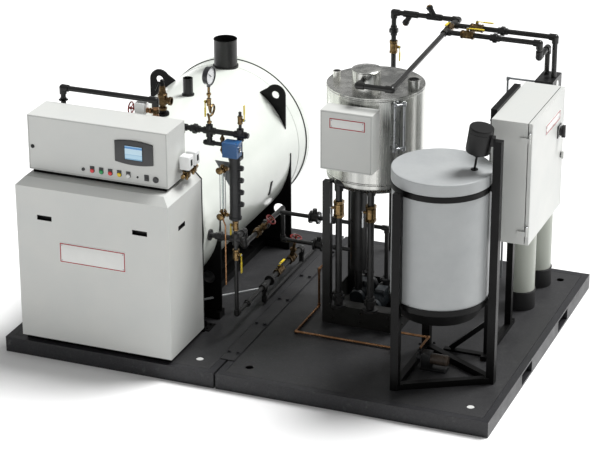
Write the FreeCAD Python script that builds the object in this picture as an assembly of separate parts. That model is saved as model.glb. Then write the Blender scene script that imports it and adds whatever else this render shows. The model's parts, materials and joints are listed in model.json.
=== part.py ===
"""Packaged steam boiler plant: horizontal boiler, feedwater tank, chemical tank and softeners on two skids.

Lengths are in millimetres and +Z is up. While it is built, the plant is measured from the left front
bottom corner of the skid: X to the right along the front, Y to the back. save() then moves each piece so
that the origin is the middle of the skid's base.
"""
import FreeCAD, Part
import math
import os
from FreeCAD import Vector

os.makedirs("parts", exist_ok=True)

X = Vector(1, 0, 0)
Y = Vector(0, 1, 0)
Z = Vector(0, 0, 1)

# ---- Skids -------------------------------------------------------------------------------------
SKID_DEPTH = 2275.0
SKID_HEIGHT = 101.6
LEFT_SKID = 1436.0
RIGHT_SKID = 1750.0
SKID_GAP = 14.0
CHANNEL_FLANGE = 45.0
CHANNEL_WEB = 6.0
FLANGE_THICKNESS = 8.0
DECK_THICKNESS = 6.35
DECK_SEAM = 2.0
LEDGE_WIDTH = 22.0
FORK_WIDTH = 217.0
FORK_HEIGHT = 76.0
FORK_WALL = 6.0
FORK_FROM_FRONT = 804.5
FORK_FROM_BACK = 658.5
LIFT_HOLE_RADIUS = 25.0
LIFT_HOLE_INSET = 160.0
JOINT_PLATE_WIDTH = 94.0
JOINT_PLATE_THICKNESS = 6.0
JOINT_PLATE_INSET = 200.0

RIGHT_SKID_X = LEFT_SKID + SKID_GAP
SKID_LENGTH = RIGHT_SKID_X + RIGHT_SKID
DECK = SKID_HEIGHT

# ---- Boiler ------------------------------------------------------------------------------------
BOILER_X = 631.0
SHELL_RADIUS = 533.0
SHELL_WALL = 8.0
RAIL_HEIGHT = 48.4
RAIL_WIDTH = 76.0
RAIL_GAUGE = 640.0
SADDLE_CLEAR = 95.0
BOILER_Z = DECK + RAIL_HEIGHT + SADDLE_CLEAR + SHELL_RADIUS
SHELL_BACK = 2250.0
CAP_DEPTH = 70.0
CAP_LIP = 7.0
CAP_WALL = 6.0
SADDLE_THICKNESS = 12.0
FRONT_SADDLE_Y = 760.0
REAR_SADDLE_Y = 1960.0
SADDLE_HORN = 20.0
SADDLE_HOLE_RADIUS = 42.0
LUG_ANGLE = 45.0
LUG_HOLE_REACH = 72.0
LUG_HOLE_RADIUS = 27.0
LUG_HEAD_RADIUS = 72.0
STACK_Y = 2109.0
STACK_RADIUS = 79.5
STACK_WALL = 3.0
STACK_HEIGHT = 194.0
STACK_COLLAR = 6.0
STEAM_Y = 1483.0
STEAM_RADIUS = 33.0
STEAM_WALL = 4.0
STEAM_HEIGHT = 118.0
STEAM_COLLAR = 8.0
RELIEF_Y = 1086.0

# ---- Burner cabinet ----------------------------------------------------------------------------
CABINET_WIDTH = 1033.0
CABINET_FRONT = 21.0
CABINET_DEPTH = 497.0
CABINET_FOOT = 28.4
CABINET_HEIGHT = 1069.0
CABINET_CHAMFER = 48.0
BACK_PLATE = 8.0
BACK_PLATE_LIP = 3.0
HAND_SLOT_WIDTH = 100.0
HAND_SLOT_HEIGHT = 32.0
HAND_SLOT_DEPTH = 30.0
HAND_SLOT_Z = 955.0
HAND_SLOT_SPREAD = 324.0
SIDE_SLOT_Y = 217.0
BOX_WIDTH = 942.0
BOX_FRONT = 134.0
BOX_DEPTH = 256.0
BOX_HEIGHT = 357.0
BOX_RISER = 24.0

CABINET_Z = DECK + CABINET_FOOT
CABINET_TOP = CABINET_Z + CABINET_HEIGHT
CABINET_BACK = CABINET_FRONT + CABINET_DEPTH
CABINET_LEFT = BOILER_X - CABINET_WIDTH / 2
CABINET_RIGHT = BOILER_X + CABINET_WIDTH / 2
SHELL_FRONT = CABINET_BACK + BACK_PLATE
BOX_LEFT = BOILER_X - BOX_WIDTH / 2
BOX_RIGHT = BOILER_X + BOX_WIDTH / 2
BOX_Z = CABINET_TOP + BOX_RISER
BOX_TOP = BOX_Z + BOX_HEIGHT
BOX_BACK = BOX_FRONT + BOX_DEPTH

# ---- Pipe sizes (outside radii) and fittings ----------------------------------------------------
PIPE_SMALL = 13.35
PIPE = 16.7
PIPE_LARGE = 21.1
COPPER = 7.95
FITTING = 1.35
STEM_RADIUS = 5.0
STEM_CLEARANCE = 0.05
LEVER_LIFT = 2.3
HUB_GAP = 1.0

# ---- Water column at the boiler's right side ----------------------------------------------------
COLUMN_OFFSET = 181.0
RISER_OFFSET = 329.0
NOZZLE_LAP = 33.0
COLUMN_X = BOILER_X + SHELL_RADIUS + COLUMN_OFFSET
COLUMN_Y = SHELL_FRONT + 64.0
COLUMN_RADIUS = 35.0
COLUMN_BOTTOM = BOILER_Z + 109.0
COLUMN_TOP = BOILER_Z + 527.0
MANIFOLD_Y = COLUMN_Y + 64.0
MANIFOLD_Z = BOILER_Z + 647.0
GAUGE_X = COLUMN_X - 195.0
DIAL_TURN = 4.0
LOWER_NOZZLE_Z = BOILER_Z - 28.0
FEED_LINE_Z = LOWER_NOZZLE_Z - 95.0
BLOWDOWN_Z = DECK + 130.4
UPPER_RUN_Y = 1300.0
LOWER_RUN_Y = 1372.0

# ---- Feedwater tank ----------------------------------------------------------------------------
TANK_X = RIGHT_SKID_X + 600.0
TANK_Y = 1190.0
TANK_RADIUS = 308.0
TANK_WALL = 3.0
TANK_BOTTOM = DECK + 938.4
TANK_HEIGHT = 640.0
TANK_DISH = 50.0
LEG_SIZE = 50.0
LEG_LAP = 15.0
BASE_HEIGHT = 133.0
BASE_PLATE = 6.0
DOME_RADIUS = 90.0
DOME_HEIGHT = 138.0
TANK_BOX_WIDTH = 338.0
TANK_BOX_HEIGHT = 385.0
TANK_BOX_DEPTH = 130.0
TANK_TOP = TANK_BOTTOM + TANK_HEIGHT
LEG_SPREAD = LEG_SIZE / 2 + (TANK_RADIUS - LEG_LAP) / math.sqrt(2)
SUCTION_Y = TANK_Y - LEG_SPREAD - 30

# ---- Chemical tank -----------------------------------------------------------------------------
CHEM_X = SKID_LENGTH - 485.0
CHEM_Y = 507.0
CHEM_RADIUS = 297.0
CHEM_WALL = 6.0
CHEM_BOTTOM = DECK + 558.4
CHEM_HEIGHT = 734.0
CHEM_LID_LIP = 6.0
CHEM_LID_HEIGHT = 73.0
CHEM_POST = 50.0
CHEM_POST_GAP = 12.0
CHEM_BAND = 8.0
CHEM_RING = 35.0
CHEM_CONE = 90.0
MIXER_RADIUS = 74.0
MIXER_LENGTH = 165.0

CHEM_TOP = CHEM_BOTTOM + CHEM_HEIGHT
CHEM_LID_RADIUS = CHEM_RADIUS + CHEM_LID_LIP
CHEM_POST_CIRCLE = CHEM_RADIUS + CHEM_BAND + CHEM_POST_GAP + CHEM_POST / 2

# ---- Electrical enclosure ----------------------------------------------------------------------
PANEL_CLEARANCE = 6.7
PANEL_WIDTH = 702.0
PANEL_DEPTH = 225.0
PANEL_Z = DECK + 846.4
PANEL_HEIGHT = 778.0
PANEL_WALL = 3.0
DOOR_THICKNESS = 22.0
DOOR_GAP = 5.0
DOOR_SKIN = 2.5
HINGE_OFFSET = 12.0
HINGE_RADIUS = 7.0
HINGE_PIN = 3.5
PANEL_X = SKID_LENGTH - DOOR_THICKNESS - DOOR_GAP - PANEL_DEPTH
PANEL_CORNER_REACH = CHEM_RADIUS + CHEM_BAND + PANEL_CLEARANCE
PANEL_FRONT_Y = CHEM_Y + math.sqrt(PANEL_CORNER_REACH ** 2 - (PANEL_X - CHEM_X) ** 2)
RACK_TUBE = 40.0

# ---- Softeners ---------------------------------------------------------------------------------
SOFTENER_X = SKID_LENGTH - 295.0
SOFTENER_Y = (1637.0, 2015.0)
SOFTENER_RADIUS = 89.0
SOFTENER_HEIGHT = 1290.0
BOOT_HEIGHT = 128.0
BOOT_WALL = 6.0

# ---- Upper water piping ------------------------------------------------------------------------
HEADER_X = TANK_X + 212.0
HEADER_Z = TANK_TOP + 130.0
INLET_Y = 2175.0
HARD_Y = INLET_Y - 115.0
SOFT_Y = HARD_Y - 152.0
INLET_X = TANK_X - 232.0


def box(x0, x1, y0, y1, z0, z1):
    return Part.makeBox(x1 - x0, y1 - y0, z1 - z0, Vector(x0, y0, z0))


def rod(start, end, radius):
    axis = end - start
    return Part.makeCylinder(radius, axis.Length, start, axis)


def tube(start, end, radius, wall):
    outer = rod(start, end, radius)
    axis = (end - start).normalize()
    return outer.cut(rod(start - axis, end + axis, radius - wall))


def hexagon(centre, axis, across, length):
    """A six-sided nut with its middle at centre."""
    side = Z if abs(axis.z) < 0.9 else X
    first = axis.cross(side).normalize()
    second = axis.cross(first)
    corners = []
    for index in range(7):
        angle = math.radians(60 * index)
        reach = across / math.sqrt(3)
        corner = first * (reach * math.cos(angle)) + second * (reach * math.sin(angle))
        corners.append(centre - axis * (length / 2) + corner)
    return Part.Face(Part.makePolygon(corners)).extrude(axis * length)


def join(pieces):
    whole = pieces[0]
    for piece in pieces[1:]:
        whole = whole.fuse(piece)
    return whole.removeSplitter()


def separate(pieces):
    """Solids that share a node without touching."""
    return Part.makeCompound(pieces)


def direction(start, end):
    return (end - start).normalize()


def bend(corner, arms, radius):
    """A threaded elbow, tee or cross: a round body with a collar along each arm."""
    collar = radius * FITTING
    pieces = [Part.makeSphere(collar * 1.04, corner)]
    for arm in arms:
        pieces.append(rod(corner, corner + arm * (radius * 2.3), collar))
    return join(pieces)


def pipe(points, radius):
    """Straight pipe through the points, with a threaded elbow at each corner."""
    pieces = []
    for start, end in zip(points, points[1:]):
        pieces.append(rod(start, end, radius))
    for before, corner, after in zip(points, points[1:], points[2:]):
        pieces.append(bend(corner, [direction(corner, before), direction(corner, after)], radius))
    return join(pieces)


def coupling(centre, axis, radius):
    """A pipe union: a six-sided nut between two collars."""
    nut = hexagon(centre, axis, radius * 3.3, radius * 1.5)
    collar = rod(centre - axis * (radius * 1.9), centre + axis * (radius * 1.9), radius * FITTING)
    return nut.fuse(collar)


def flange(centre, axis, radius, thickness):
    return rod(centre - axis * (thickness / 2), centre + axis * (thickness / 2), radius)


def turned(shape, origin, up, along):
    """Moves a shape made on the local X (along) and Z (up) axes to its place."""
    side = up.cross(along)
    moved = shape.copy()
    moved.Placement = FreeCAD.Placement(origin, FreeCAD.Rotation(along, side, up, "ZXY"))
    return moved


def save(shape, name):
    placed = shape.copy()
    placed.translate(Vector(-SKID_LENGTH / 2, -SKID_DEPTH / 2, 0))
    placed.exportStep("parts/" + name + ".step")


# ---- Ball valves: name, centre, pipe axis, stem direction, lever direction, pipe radius, lever length
BALL_VALVES = [
    ("gauge_lever", Vector(GAUGE_X, MANIFOLD_Y, MANIFOLD_Z + 188), Z, -X, -Z, 9.0, 100),
    ("column_vent_lever", Vector(COLUMN_X + 12, MANIFOLD_Y, MANIFOLD_Z + 98), Z, X, Z, 10.0, 98),
    ("column_lever", Vector(COLUMN_X, COLUMN_Y, COLUMN_BOTTOM - 46), Z, -X, -Z, 12.0, 68),
    ("column_drain_lever", Vector(COLUMN_X, COLUMN_Y, LOWER_NOZZLE_Z - 106), Z, X, -Z, PIPE_SMALL, 122),
    ("blowdown_lever", Vector(COLUMN_X, 1300, BLOWDOWN_Z), Y, Z, Y, PIPE, 95),
    ("left_suction_lever", Vector(TANK_X - 144, SUCTION_Y, TANK_BOTTOM - 130), Z, -X, -Z, PIPE_LARGE, 105),
    ("right_suction_lever", Vector(TANK_X + 70, SUCTION_Y, TANK_BOTTOM - 130), Z, -X, -Z, PIPE_LARGE, 105),
    ("inlet_lever", Vector(INLET_X, INLET_Y, HEADER_Z - 237), Z, X, -Z, PIPE, 95),
    ("hard_water_lever", Vector(HEADER_X + 165, HARD_Y, HEADER_Z), X, Z, X, PIPE, 110),
    ("soft_water_lever", Vector(HEADER_X + 150, SOFT_Y, HEADER_Z), X, Z, X, PIPE, 110),
    ("bypass_lever", Vector(HEADER_X, (HARD_Y + SOFT_Y) / 2, HEADER_Z), Y, Z, -Y, PIPE, 75),
]

# ---- Handwheel valves: name, centre, pipe axis, stem direction, pipe radius, stem reach, wheel radius
HANDWHEEL_VALVES = [
    ("feedwater_handwheel", Vector(COLUMN_X, 950, FEED_LINE_Z), Y, Vector(0.68, 0, 0.73), PIPE, 132, 34),
    ("blowdown_handwheel", Vector(COLUMN_X, 1518, BLOWDOWN_Z), Y, Vector(0.21, 0, 0.98), PIPE, 162, 36),
    ("gas_handwheel", Vector(BOILER_X + 251, 450, BOX_TOP + 6), Z, -X, PIPE_SMALL, 167, 38),
]


def ball_valve_body(centre, along, stem, radius):
    """Barrel with a six-sided nut at each end and a bonnet that holds the stem."""
    half = radius * 2.6
    top = radius * LEVER_LIFT
    pieces = [rod(centre - along * half, centre + along * half, radius * 1.25)]
    pieces.append(rod(centre - along * (radius * 1.5), centre + along * (radius * 1.5), radius * 1.55))
    for sign in (-1, 1):
        end = centre + along * (sign * (half - radius * 0.45))
        pieces.append(hexagon(end, along, radius * 2.9, radius * 0.9))
    pieces.append(rod(centre, centre + stem * top, STEM_RADIUS + 5))
    body = join(pieces)
    bore = rod(centre + stem * (top - 10), centre + stem * (top + 1), STEM_RADIUS + STEM_CLEARANCE)
    return body.cut(bore)


def lever(centre, stem, arm, radius, length):
    """Flat lever on a stem that turns in the bonnet."""
    top = radius * LEVER_LIFT
    pieces = [rod(centre + stem * (top - 9), centre + stem * (top + HUB_GAP + 8), STEM_RADIUS)]
    pieces.append(rod(centre + stem * (top + HUB_GAP), centre + stem * (top + HUB_GAP + 6), 9))
    flat = Part.makeBox(length * 0.45, 13, 3, Vector(0, -6.5, 0))
    grip = Part.makeBox(length * 0.6, 15, 6, Vector(length * 0.4, -7.5, -1.5))
    handle = flat.fuse(grip)
    pieces.append(turned(handle, centre + stem * (top + HUB_GAP + 3), stem, arm))
    return join(pieces)


def gate_valve_body(centre, along, stem, radius, reach):
    """Globe-shaped body with a bonnet that holds the handwheel's stem."""
    half = radius * 2.7
    pieces = [rod(centre - along * half, centre + along * half, radius * 1.25)]
    pieces.append(Part.makeSphere(radius * 1.75, centre))
    for sign in (-1, 1):
        end = centre + along * (sign * (half - radius * 0.4))
        pieces.append(hexagon(end, along, radius * 2.9, radius * 0.8))
    pieces.append(rod(centre, centre + stem * (reach * 0.5), radius * 0.95))
    pieces.append(hexagon(centre + stem * (reach * 0.42), stem, radius * 2.5, radius * 0.8))
    pieces.append(rod(centre, centre + stem * (reach * 0.72), STEM_RADIUS + 5))
    body = join(pieces)
    bore = rod(centre + stem * (reach * 0.5), centre + stem * (reach * 0.75), STEM_RADIUS + STEM_CLEARANCE)
    return body.cut(bore)


def handwheel(centre, stem, reach, wheel_radius):
    """Ring with three spokes on a stem that turns in the bonnet."""
    middle = centre + stem * reach
    side = stem.cross(Y if abs(stem.y) < 0.9 else X).normalize()
    pieces = [rod(centre + stem * (reach * 0.52), middle + stem * 8, STEM_RADIUS)]
    pieces.append(rod(middle - stem * 5, middle + stem * 5, 10))
    pieces.append(Part.makeTorus(wheel_radius, 4.5, middle, stem))
    for index in range(3):
        turn = FreeCAD.Rotation(stem, 120 * index)
        spoke = turn.multVec(side)
        pieces.append(rod(middle + spoke * 6, middle + spoke * wheel_radius, 3.2))
    return join(pieces)


def ball_valve_solids():
    return [ball_valve_body(v[1], v[2], v[3], v[5]) for v in BALL_VALVES]


def gate_valve_solids():
    return [gate_valve_body(v[1], v[2], v[3], v[4], v[5]) for v in HANDWHEEL_VALVES]


def build_valves():
    save(separate(ball_valve_solids()), "ball_valves")
    save(separate(gate_valve_solids()), "handwheel_valves")
    for name, centre, along, stem, arm, radius, length in BALL_VALVES:
        save(lever(centre, stem, arm, radius, length), name)
    for name, centre, along, stem, radius, reach, wheel_radius in HANDWHEEL_VALVES:
        save(handwheel(centre, stem, reach, wheel_radius), name)


def without_valves(shape):
    """Stops a pipe at the faces of the valves on it."""
    for body in ball_valve_solids() + gate_valve_solids():
        if shape.BoundBox.intersect(body.BoundBox):
            shape = shape.cut(body)
    return shape


# ---- Skids -------------------------------------------------------------------------------------
def ring(x0, x1, inset_out, inset_in, z0, z1):
    outer = box(x0 + inset_out, x1 - inset_out, inset_out, SKID_DEPTH - inset_out, z0, z1)
    inner = box(x0 + inset_in, x1 - inset_in, inset_in, SKID_DEPTH - inset_in, z0 - 1, z1 + 1)
    return outer.cut(inner)


def fork_lines():
    return (FORK_FROM_FRONT, SKID_DEPTH - FORK_FROM_BACK)


def skid_frame(x0, x1):
    """Channels around the edge, a ledge that the deck lies on, and two through tubes for forks."""
    under_deck = SKID_HEIGHT - DECK_THICKNESS
    pieces = [ring(x0, x1, 0, CHANNEL_WEB, 0, SKID_HEIGHT)]
    pieces.append(ring(x0, x1, 0, CHANNEL_FLANGE, 0, FLANGE_THICKNESS))
    pieces.append(ring(x0, x1, 0, CHANNEL_FLANGE, SKID_HEIGHT - FLANGE_THICKNESS, SKID_HEIGHT))
    pieces.append(ring(x0, x1, CHANNEL_FLANGE / 2, CHANNEL_FLANGE + LEDGE_WIDTH,
                       under_deck - FLANGE_THICKNESS, under_deck))
    frame = join(pieces)
    fork_z = under_deck - FORK_WALL - FORK_HEIGHT
    for line in fork_lines():
        outer = box(x0, x1, line - FORK_WIDTH / 2 - FORK_WALL, line + FORK_WIDTH / 2 + FORK_WALL,
                    fork_z - FORK_WALL, under_deck)
        inner = box(x0 - 1, x1 + 1, line - FORK_WIDTH / 2, line + FORK_WIDTH / 2, fork_z, fork_z + FORK_HEIGHT)
        frame = frame.fuse(outer).cut(inner)
    return frame.removeSplitter()


def deck_plate(x0, x1):
    inset = CHANNEL_FLANGE + DECK_SEAM
    plate = box(x0 + inset, x1 - inset, inset, SKID_DEPTH - inset, SKID_HEIGHT - DECK_THICKNESS, SKID_HEIGHT)
    for x in (x0 + LIFT_HOLE_INSET, x1 - LIFT_HOLE_INSET):
        for y in (LIFT_HOLE_INSET, SKID_DEPTH - LIFT_HOLE_INSET):
            plate = plate.cut(rod(Vector(x, y, 0), Vector(x, y, SKID_HEIGHT + 1), LIFT_HOLE_RADIUS))
    return plate


def build_skids():
    save(skid_frame(0, LEFT_SKID), "left_skid_frame")
    save(skid_frame(RIGHT_SKID_X, SKID_LENGTH), "right_skid_frame")
    save(separate([deck_plate(0, LEFT_SKID), deck_plate(RIGHT_SKID_X, SKID_LENGTH)]), "deck_plates")
    middle = LEFT_SKID + SKID_GAP / 2
    plate = box(middle - JOINT_PLATE_WIDTH / 2, middle + JOINT_PLATE_WIDTH / 2, JOINT_PLATE_INSET,
                SKID_DEPTH - JOINT_PLATE_INSET, SKID_HEIGHT, SKID_HEIGHT + JOINT_PLATE_THICKNESS)
    save(plate, "skid_joint_plate")


# ---- Boiler ------------------------------------------------------------------------------------
def shell_point(angle, reach, y):
    """A point round the boiler's axis: 0 degrees is to the right, 90 is up."""
    a = math.radians(angle)
    return Vector(BOILER_X + reach * math.cos(a), y, BOILER_Z + reach * math.sin(a))


def shell_solid(radius=SHELL_RADIUS):
    return rod(Vector(BOILER_X, SHELL_FRONT, BOILER_Z), Vector(BOILER_X, SHELL_BACK, BOILER_Z), radius)


def saddle(y):
    """Upright plate that cradles the lower half of the shell, with a round hole in each corner."""
    plate = box(BOILER_X - SHELL_RADIUS - 4, BOILER_X + SHELL_RADIUS + 4, y - SADDLE_THICKNESS / 2,
                y + SADDLE_THICKNESS / 2, DECK + RAIL_HEIGHT, BOILER_Z + SADDLE_HORN)
    plate = plate.cut(shell_solid())
    for side in (-1, 1):
        x = BOILER_X + side * (SHELL_RADIUS - 82)
        hole_z = DECK + RAIL_HEIGHT + 227
        hole = rod(Vector(x, y - SADDLE_THICKNESS, hole_z), Vector(x, y + SADDLE_THICKNESS, hole_z),
                   SADDLE_HOLE_RADIUS)
        plate = plate.cut(hole)
    return plate


def lifting_lug(side):
    """Plate across the shell with a round head and an eye at 45 degrees."""
    y0 = REAR_SADDLE_Y - SADDLE_THICKNESS / 2
    eye = shell_point(LUG_ANGLE, SHELL_RADIUS + LUG_HOLE_REACH, y0)
    head = rod(eye, eye + Y * SADDLE_THICKNESS, LUG_HEAD_RADIUS)
    right = eye.x + LUG_HEAD_RADIUS
    corners = [Vector(right, y0, eye.z), Vector(right, y0, BOILER_Z + 190), shell_point(30, 440, y0),
               shell_point(54, 440, y0), shell_point(54, SHELL_RADIUS + 8, y0),
               Vector(eye.x - LUG_HEAD_RADIUS * 0.8, y0, eye.z + LUG_HEAD_RADIUS * 0.6)]
    web = Part.Face(Part.makePolygon(corners + [corners[0]])).extrude(Y * SADDLE_THICKNESS)
    lug = head.fuse(web).cut(shell_solid())
    lug = lug.cut(rod(eye - Y, eye + Y * (SADDLE_THICKNESS + 1), LUG_HOLE_RADIUS)).removeSplitter()
    if side < 0:
        lug = lug.mirror(Vector(BOILER_X, 0, 0), X)
    return lug


def build_boiler():
    front = Vector(BOILER_X, SHELL_FRONT, BOILER_Z)
    back = Vector(BOILER_X, SHELL_BACK, BOILER_Z)
    save(tube(front, back, SHELL_RADIUS, SHELL_WALL), "boiler_shell")

    cap = rod(back, back + Y * CAP_DEPTH, SHELL_RADIUS + CAP_LIP)
    rim = [edge for edge in cap.Edges if abs(edge.BoundBox.YMin - SHELL_BACK - CAP_DEPTH) < 0.01]
    cap = cap.makeFillet(18, rim[:1])
    cap = cap.cut(rod(back - Y, back + Y * (CAP_DEPTH - CAP_WALL), SHELL_RADIUS - SHELL_WALL))
    save(cap, "rear_head")

    pieces = []
    for side in (-1, 1):
        x = BOILER_X + side * RAIL_GAUGE / 2
        pieces.append(box(x - RAIL_WIDTH / 2, x + RAIL_WIDTH / 2, SHELL_FRONT, SHELL_BACK,
                          DECK, DECK + RAIL_HEIGHT))
    for y in (FRONT_SADDLE_Y, REAR_SADDLE_Y):
        pieces.append(saddle(y))
        pieces.append(box(BOILER_X - SHELL_RADIUS - 4, BOILER_X + SHELL_RADIUS + 4, y - 40, y + 40,
                          DECK, DECK + RAIL_HEIGHT))
    support = join(pieces)
    save(separate([support, lifting_lug(1), lifting_lug(-1)]), "boiler_support")

    top = BOILER_Z + SHELL_RADIUS
    stack_foot = Vector(BOILER_X, STACK_Y, top - 30)
    stack = tube(stack_foot, stack_foot + Z * (STACK_HEIGHT + 30), STACK_RADIUS, STACK_WALL)
    stack = stack.fuse(tube(stack_foot, stack_foot + Z * (30 + STACK_COLLAR), STACK_RADIUS + 8, 10))
    stack = stack.cut(shell_solid())
    steam_foot = Vector(BOILER_X, STEAM_Y, top - 30)
    steam = tube(steam_foot, steam_foot + Z * (STEAM_HEIGHT + 30), STEAM_RADIUS, STEAM_WALL)
    steam = steam.fuse(tube(steam_foot, steam_foot + Z * (30 + STEAM_COLLAR), STEAM_RADIUS + 8, 10))
    steam = steam.cut(shell_solid())
    save(separate([stack, steam]), "stack_and_steam_outlet")

    foot = Vector(BOILER_X, RELIEF_Y, top - 12)
    body = Vector(BOILER_X, RELIEF_Y, top + 86)
    pieces = [rod(foot, foot + Z * 24, 42), rod(foot, body, 20)]
    pieces.append(hexagon(foot + Z * 42, Z, 62, 20))
    pieces.append(rod(body - Z * 34, body + Z * 34, 31))
    pieces.append(rod(body, body + X * 62, 24))
    pieces.append(rod(body + X * 46, body + X * 64, 29))
    pieces.append(Part.makeCone(27, 15, 92, body + Z * 30, Z))
    pieces.append(rod(body + Z * 118, body + Z * 152, 15))
    pieces.append(box(BOILER_X - 46, BOILER_X, RELIEF_Y - 7, RELIEF_Y + 7, body.z + 128, body.z + 138))
    pieces.append(box(BOILER_X - 52, BOILER_X - 40, RELIEF_Y - 7, RELIEF_Y + 7, body.z + 62, body.z + 138))
    save(join(pieces).cut(shell_solid()), "safety_valve")


# ---- Burner cabinet ----------------------------------------------------------------------------
def chamfered_block(x0, x1, y0, y1, z0, z1, chamfer, chamfer_front):
    """A block whose side and front top edges are cut off at 45 degrees."""
    profile = [Vector(x0, y0, z0), Vector(x1, y0, z0), Vector(x1, y0, z1 - chamfer), Vector(x1 - chamfer, y0, z1),
               Vector(x0 + chamfer, y0, z1), Vector(x0, y0, z1 - chamfer), Vector(x0, y0, z0)]
    block = Part.Face(Part.makePolygon(profile)).extrude(Y * (y1 - y0))
    if chamfer_front:
        corner = [Vector(x0 - 1, y0, z1 - chamfer), Vector(x0 - 1, y0 + chamfer, z1), Vector(x0 - 1, y0, z1),
                  Vector(x0 - 1, y0, z1 - chamfer)]
        block = block.cut(Part.Face(Part.makePolygon(corner)).extrude(X * (x1 - x0 + 2)))
    return block


def hand_slots():
    """Pockets that the fingers take hold of to lift the cover off: two in front, one at each side."""
    z0 = HAND_SLOT_Z - HAND_SLOT_HEIGHT / 2
    z1 = HAND_SLOT_Z + HAND_SLOT_HEIGHT / 2
    slots = []
    for x in (BOILER_X - HAND_SLOT_SPREAD, BOILER_X + HAND_SLOT_SPREAD):
        slots.append(box(x - HAND_SLOT_WIDTH / 2, x + HAND_SLOT_WIDTH / 2, CABINET_FRONT - 1,
                         CABINET_FRONT + HAND_SLOT_DEPTH, z0, z1))
    for x0, x1 in ((CABINET_LEFT - 1, CABINET_LEFT + HAND_SLOT_DEPTH),
                   (CABINET_RIGHT - HAND_SLOT_DEPTH, CABINET_RIGHT + 1)):
        slots.append(box(x0, x1, SIDE_SLOT_Y - HAND_SLOT_WIDTH / 2, SIDE_SLOT_Y + HAND_SLOT_WIDTH / 2, z0, z1))
    return slots


def operator_panel():
    """Arched display bezel and the row of lamps, buttons and switches on the control box's front."""
    y = BOX_FRONT
    centre = BOX_LEFT + 720.5
    middle = BOX_Z + 204.5
    half = 127.5
    rise = 79.5
    arch = 14.0
    top = Part.Arc(Vector(centre - half, y, middle + rise - arch), Vector(centre, y, middle + rise),
                   Vector(centre + half, y, middle + rise - arch)).toShape()
    bottom = Part.Arc(Vector(centre + half, y, middle - rise + arch), Vector(centre, y, middle - rise),
                      Vector(centre - half, y, middle - rise + arch)).toShape()
    right = Part.makeLine(Vector(centre + half, y, middle + rise - arch),
                          Vector(centre + half, y, middle - rise + arch))
    left = Part.makeLine(Vector(centre - half, y, middle - rise + arch),
                         Vector(centre - half, y, middle + rise - arch))
    bezel = Part.Face(Part.Wire([top, right, bottom, left])).extrude(Y * -12)
    bezel = bezel.cut(box(centre - 58, centre + 58, y - 13, y - 9, middle - 44, middle + 44))
    pieces = [bezel]
    row_z = BOX_Z + 49
    first_x = BOX_LEFT + 373
    pitch = 61.0
    for index in range(9):
        x = first_x + pitch * index
        if index in (1, 2, 3, 4, 5):
            button = rod(Vector(x, y - 13, row_z), Vector(x, y, row_z), 13)
            pieces.append(button.fuse(box(x - 14, x + 14, y - 3, y, row_z + 9, row_z + 27)))
        elif index == 7:
            rocker = rod(Vector(x, y - 10, row_z - 6), Vector(x, y, row_z - 6), 15)
            pieces.append(rocker.fuse(box(x - 15, x + 15, y - 10, y, row_z - 6, row_z + 24)))
        else:
            radius = {0: 11, 6: 6, 8: 20}[index]
            pieces.append(rod(Vector(x, y - 11, row_z), Vector(x, y, row_z), radius))
    lock_x = BOX_LEFT + 30
    lock_z = BOX_Z + 152
    pieces.append(rod(Vector(lock_x, y - 8, lock_z), Vector(lock_x, y, lock_z), 11))
    return separate(pieces)


def gas_valve_solids():
    """Two shut-off valves on the box's right side, and the vent valve behind the box."""
    run_x = BOX_RIGHT + 46
    run_z = BOX_Z + 42
    pieces = [rod(Vector(run_x, BOX_FRONT + 112, run_z), Vector(run_x, BOX_FRONT + 322, run_z), 14)]
    for y in (BOX_FRONT + 172, BOX_FRONT + 266):
        pieces.append(hexagon(Vector(run_x, y, run_z), Y, 40, 46))
        pieces.append(rod(Vector(run_x, y, run_z), Vector(run_x, y, run_z + 40), 13))
        pieces.append(box(BOX_RIGHT + 14, BOX_RIGHT + 78, y - 33, y + 33, run_z + 36, run_z + 124))
    stub_y = BOX_FRONT + 218
    pieces.append(rod(Vector(BOX_RIGHT, stub_y, run_z), Vector(run_x, stub_y, run_z), 12))
    side = join(pieces)
    vent = HANDWHEEL_VALVES[2][1]
    housing = box(vent.x - 128, vent.x - 60, vent.y - 34, vent.y + 34, vent.z - 26, vent.z + 50)
    housing = housing.cut(gate_valve_solids()[2])
    housing = housing.cut(rod(vent, vent - X * 130, STEM_RADIUS + 5))
    return [side, housing]


def build_burner():
    cabinet = chamfered_block(CABINET_LEFT, CABINET_RIGHT, CABINET_FRONT, CABINET_BACK, CABINET_Z, CABINET_TOP,
                              CABINET_CHAMFER, True)
    for slot in hand_slots():
        cabinet = cabinet.cut(slot)
    save(cabinet, "burner_cabinet")

    plinth = box(CABINET_LEFT + 20, CABINET_RIGHT - 20, CABINET_FRONT + 24, CABINET_BACK + 2, DECK, CABINET_Z)
    back = chamfered_block(CABINET_LEFT - BACK_PLATE_LIP, CABINET_RIGHT + BACK_PLATE_LIP, CABINET_BACK, SHELL_FRONT,
                           DECK, CABINET_TOP + BACK_PLATE_LIP, CABINET_CHAMFER, False)
    riser = box(BOX_LEFT + 20, BOX_RIGHT - 20, BOX_FRONT + 16, BOX_BACK - 10, CABINET_TOP, BOX_Z)
    save(separate([join([plinth, back]), riser]), "cabinet_frame")

    save(box(BOX_LEFT, BOX_RIGHT, BOX_FRONT, BOX_BACK, BOX_Z, BOX_TOP), "control_box")
    save(operator_panel(), "operator_panel")
    save(separate(gas_valve_solids()), "gas_valves")

    valve = HANDWHEEL_VALVES[2][1]
    left_x = BOX_LEFT + 90
    run_z = BOX_TOP + 78
    points = [Vector(left_x, valve.y, CABINET_TOP), Vector(left_x, valve.y, run_z),
              Vector(valve.x, valve.y, run_z), Vector(valve.x, valve.y, CABINET_TOP)]
    save(without_valves(pipe(points, PIPE)), "vent_pipe")


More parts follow.
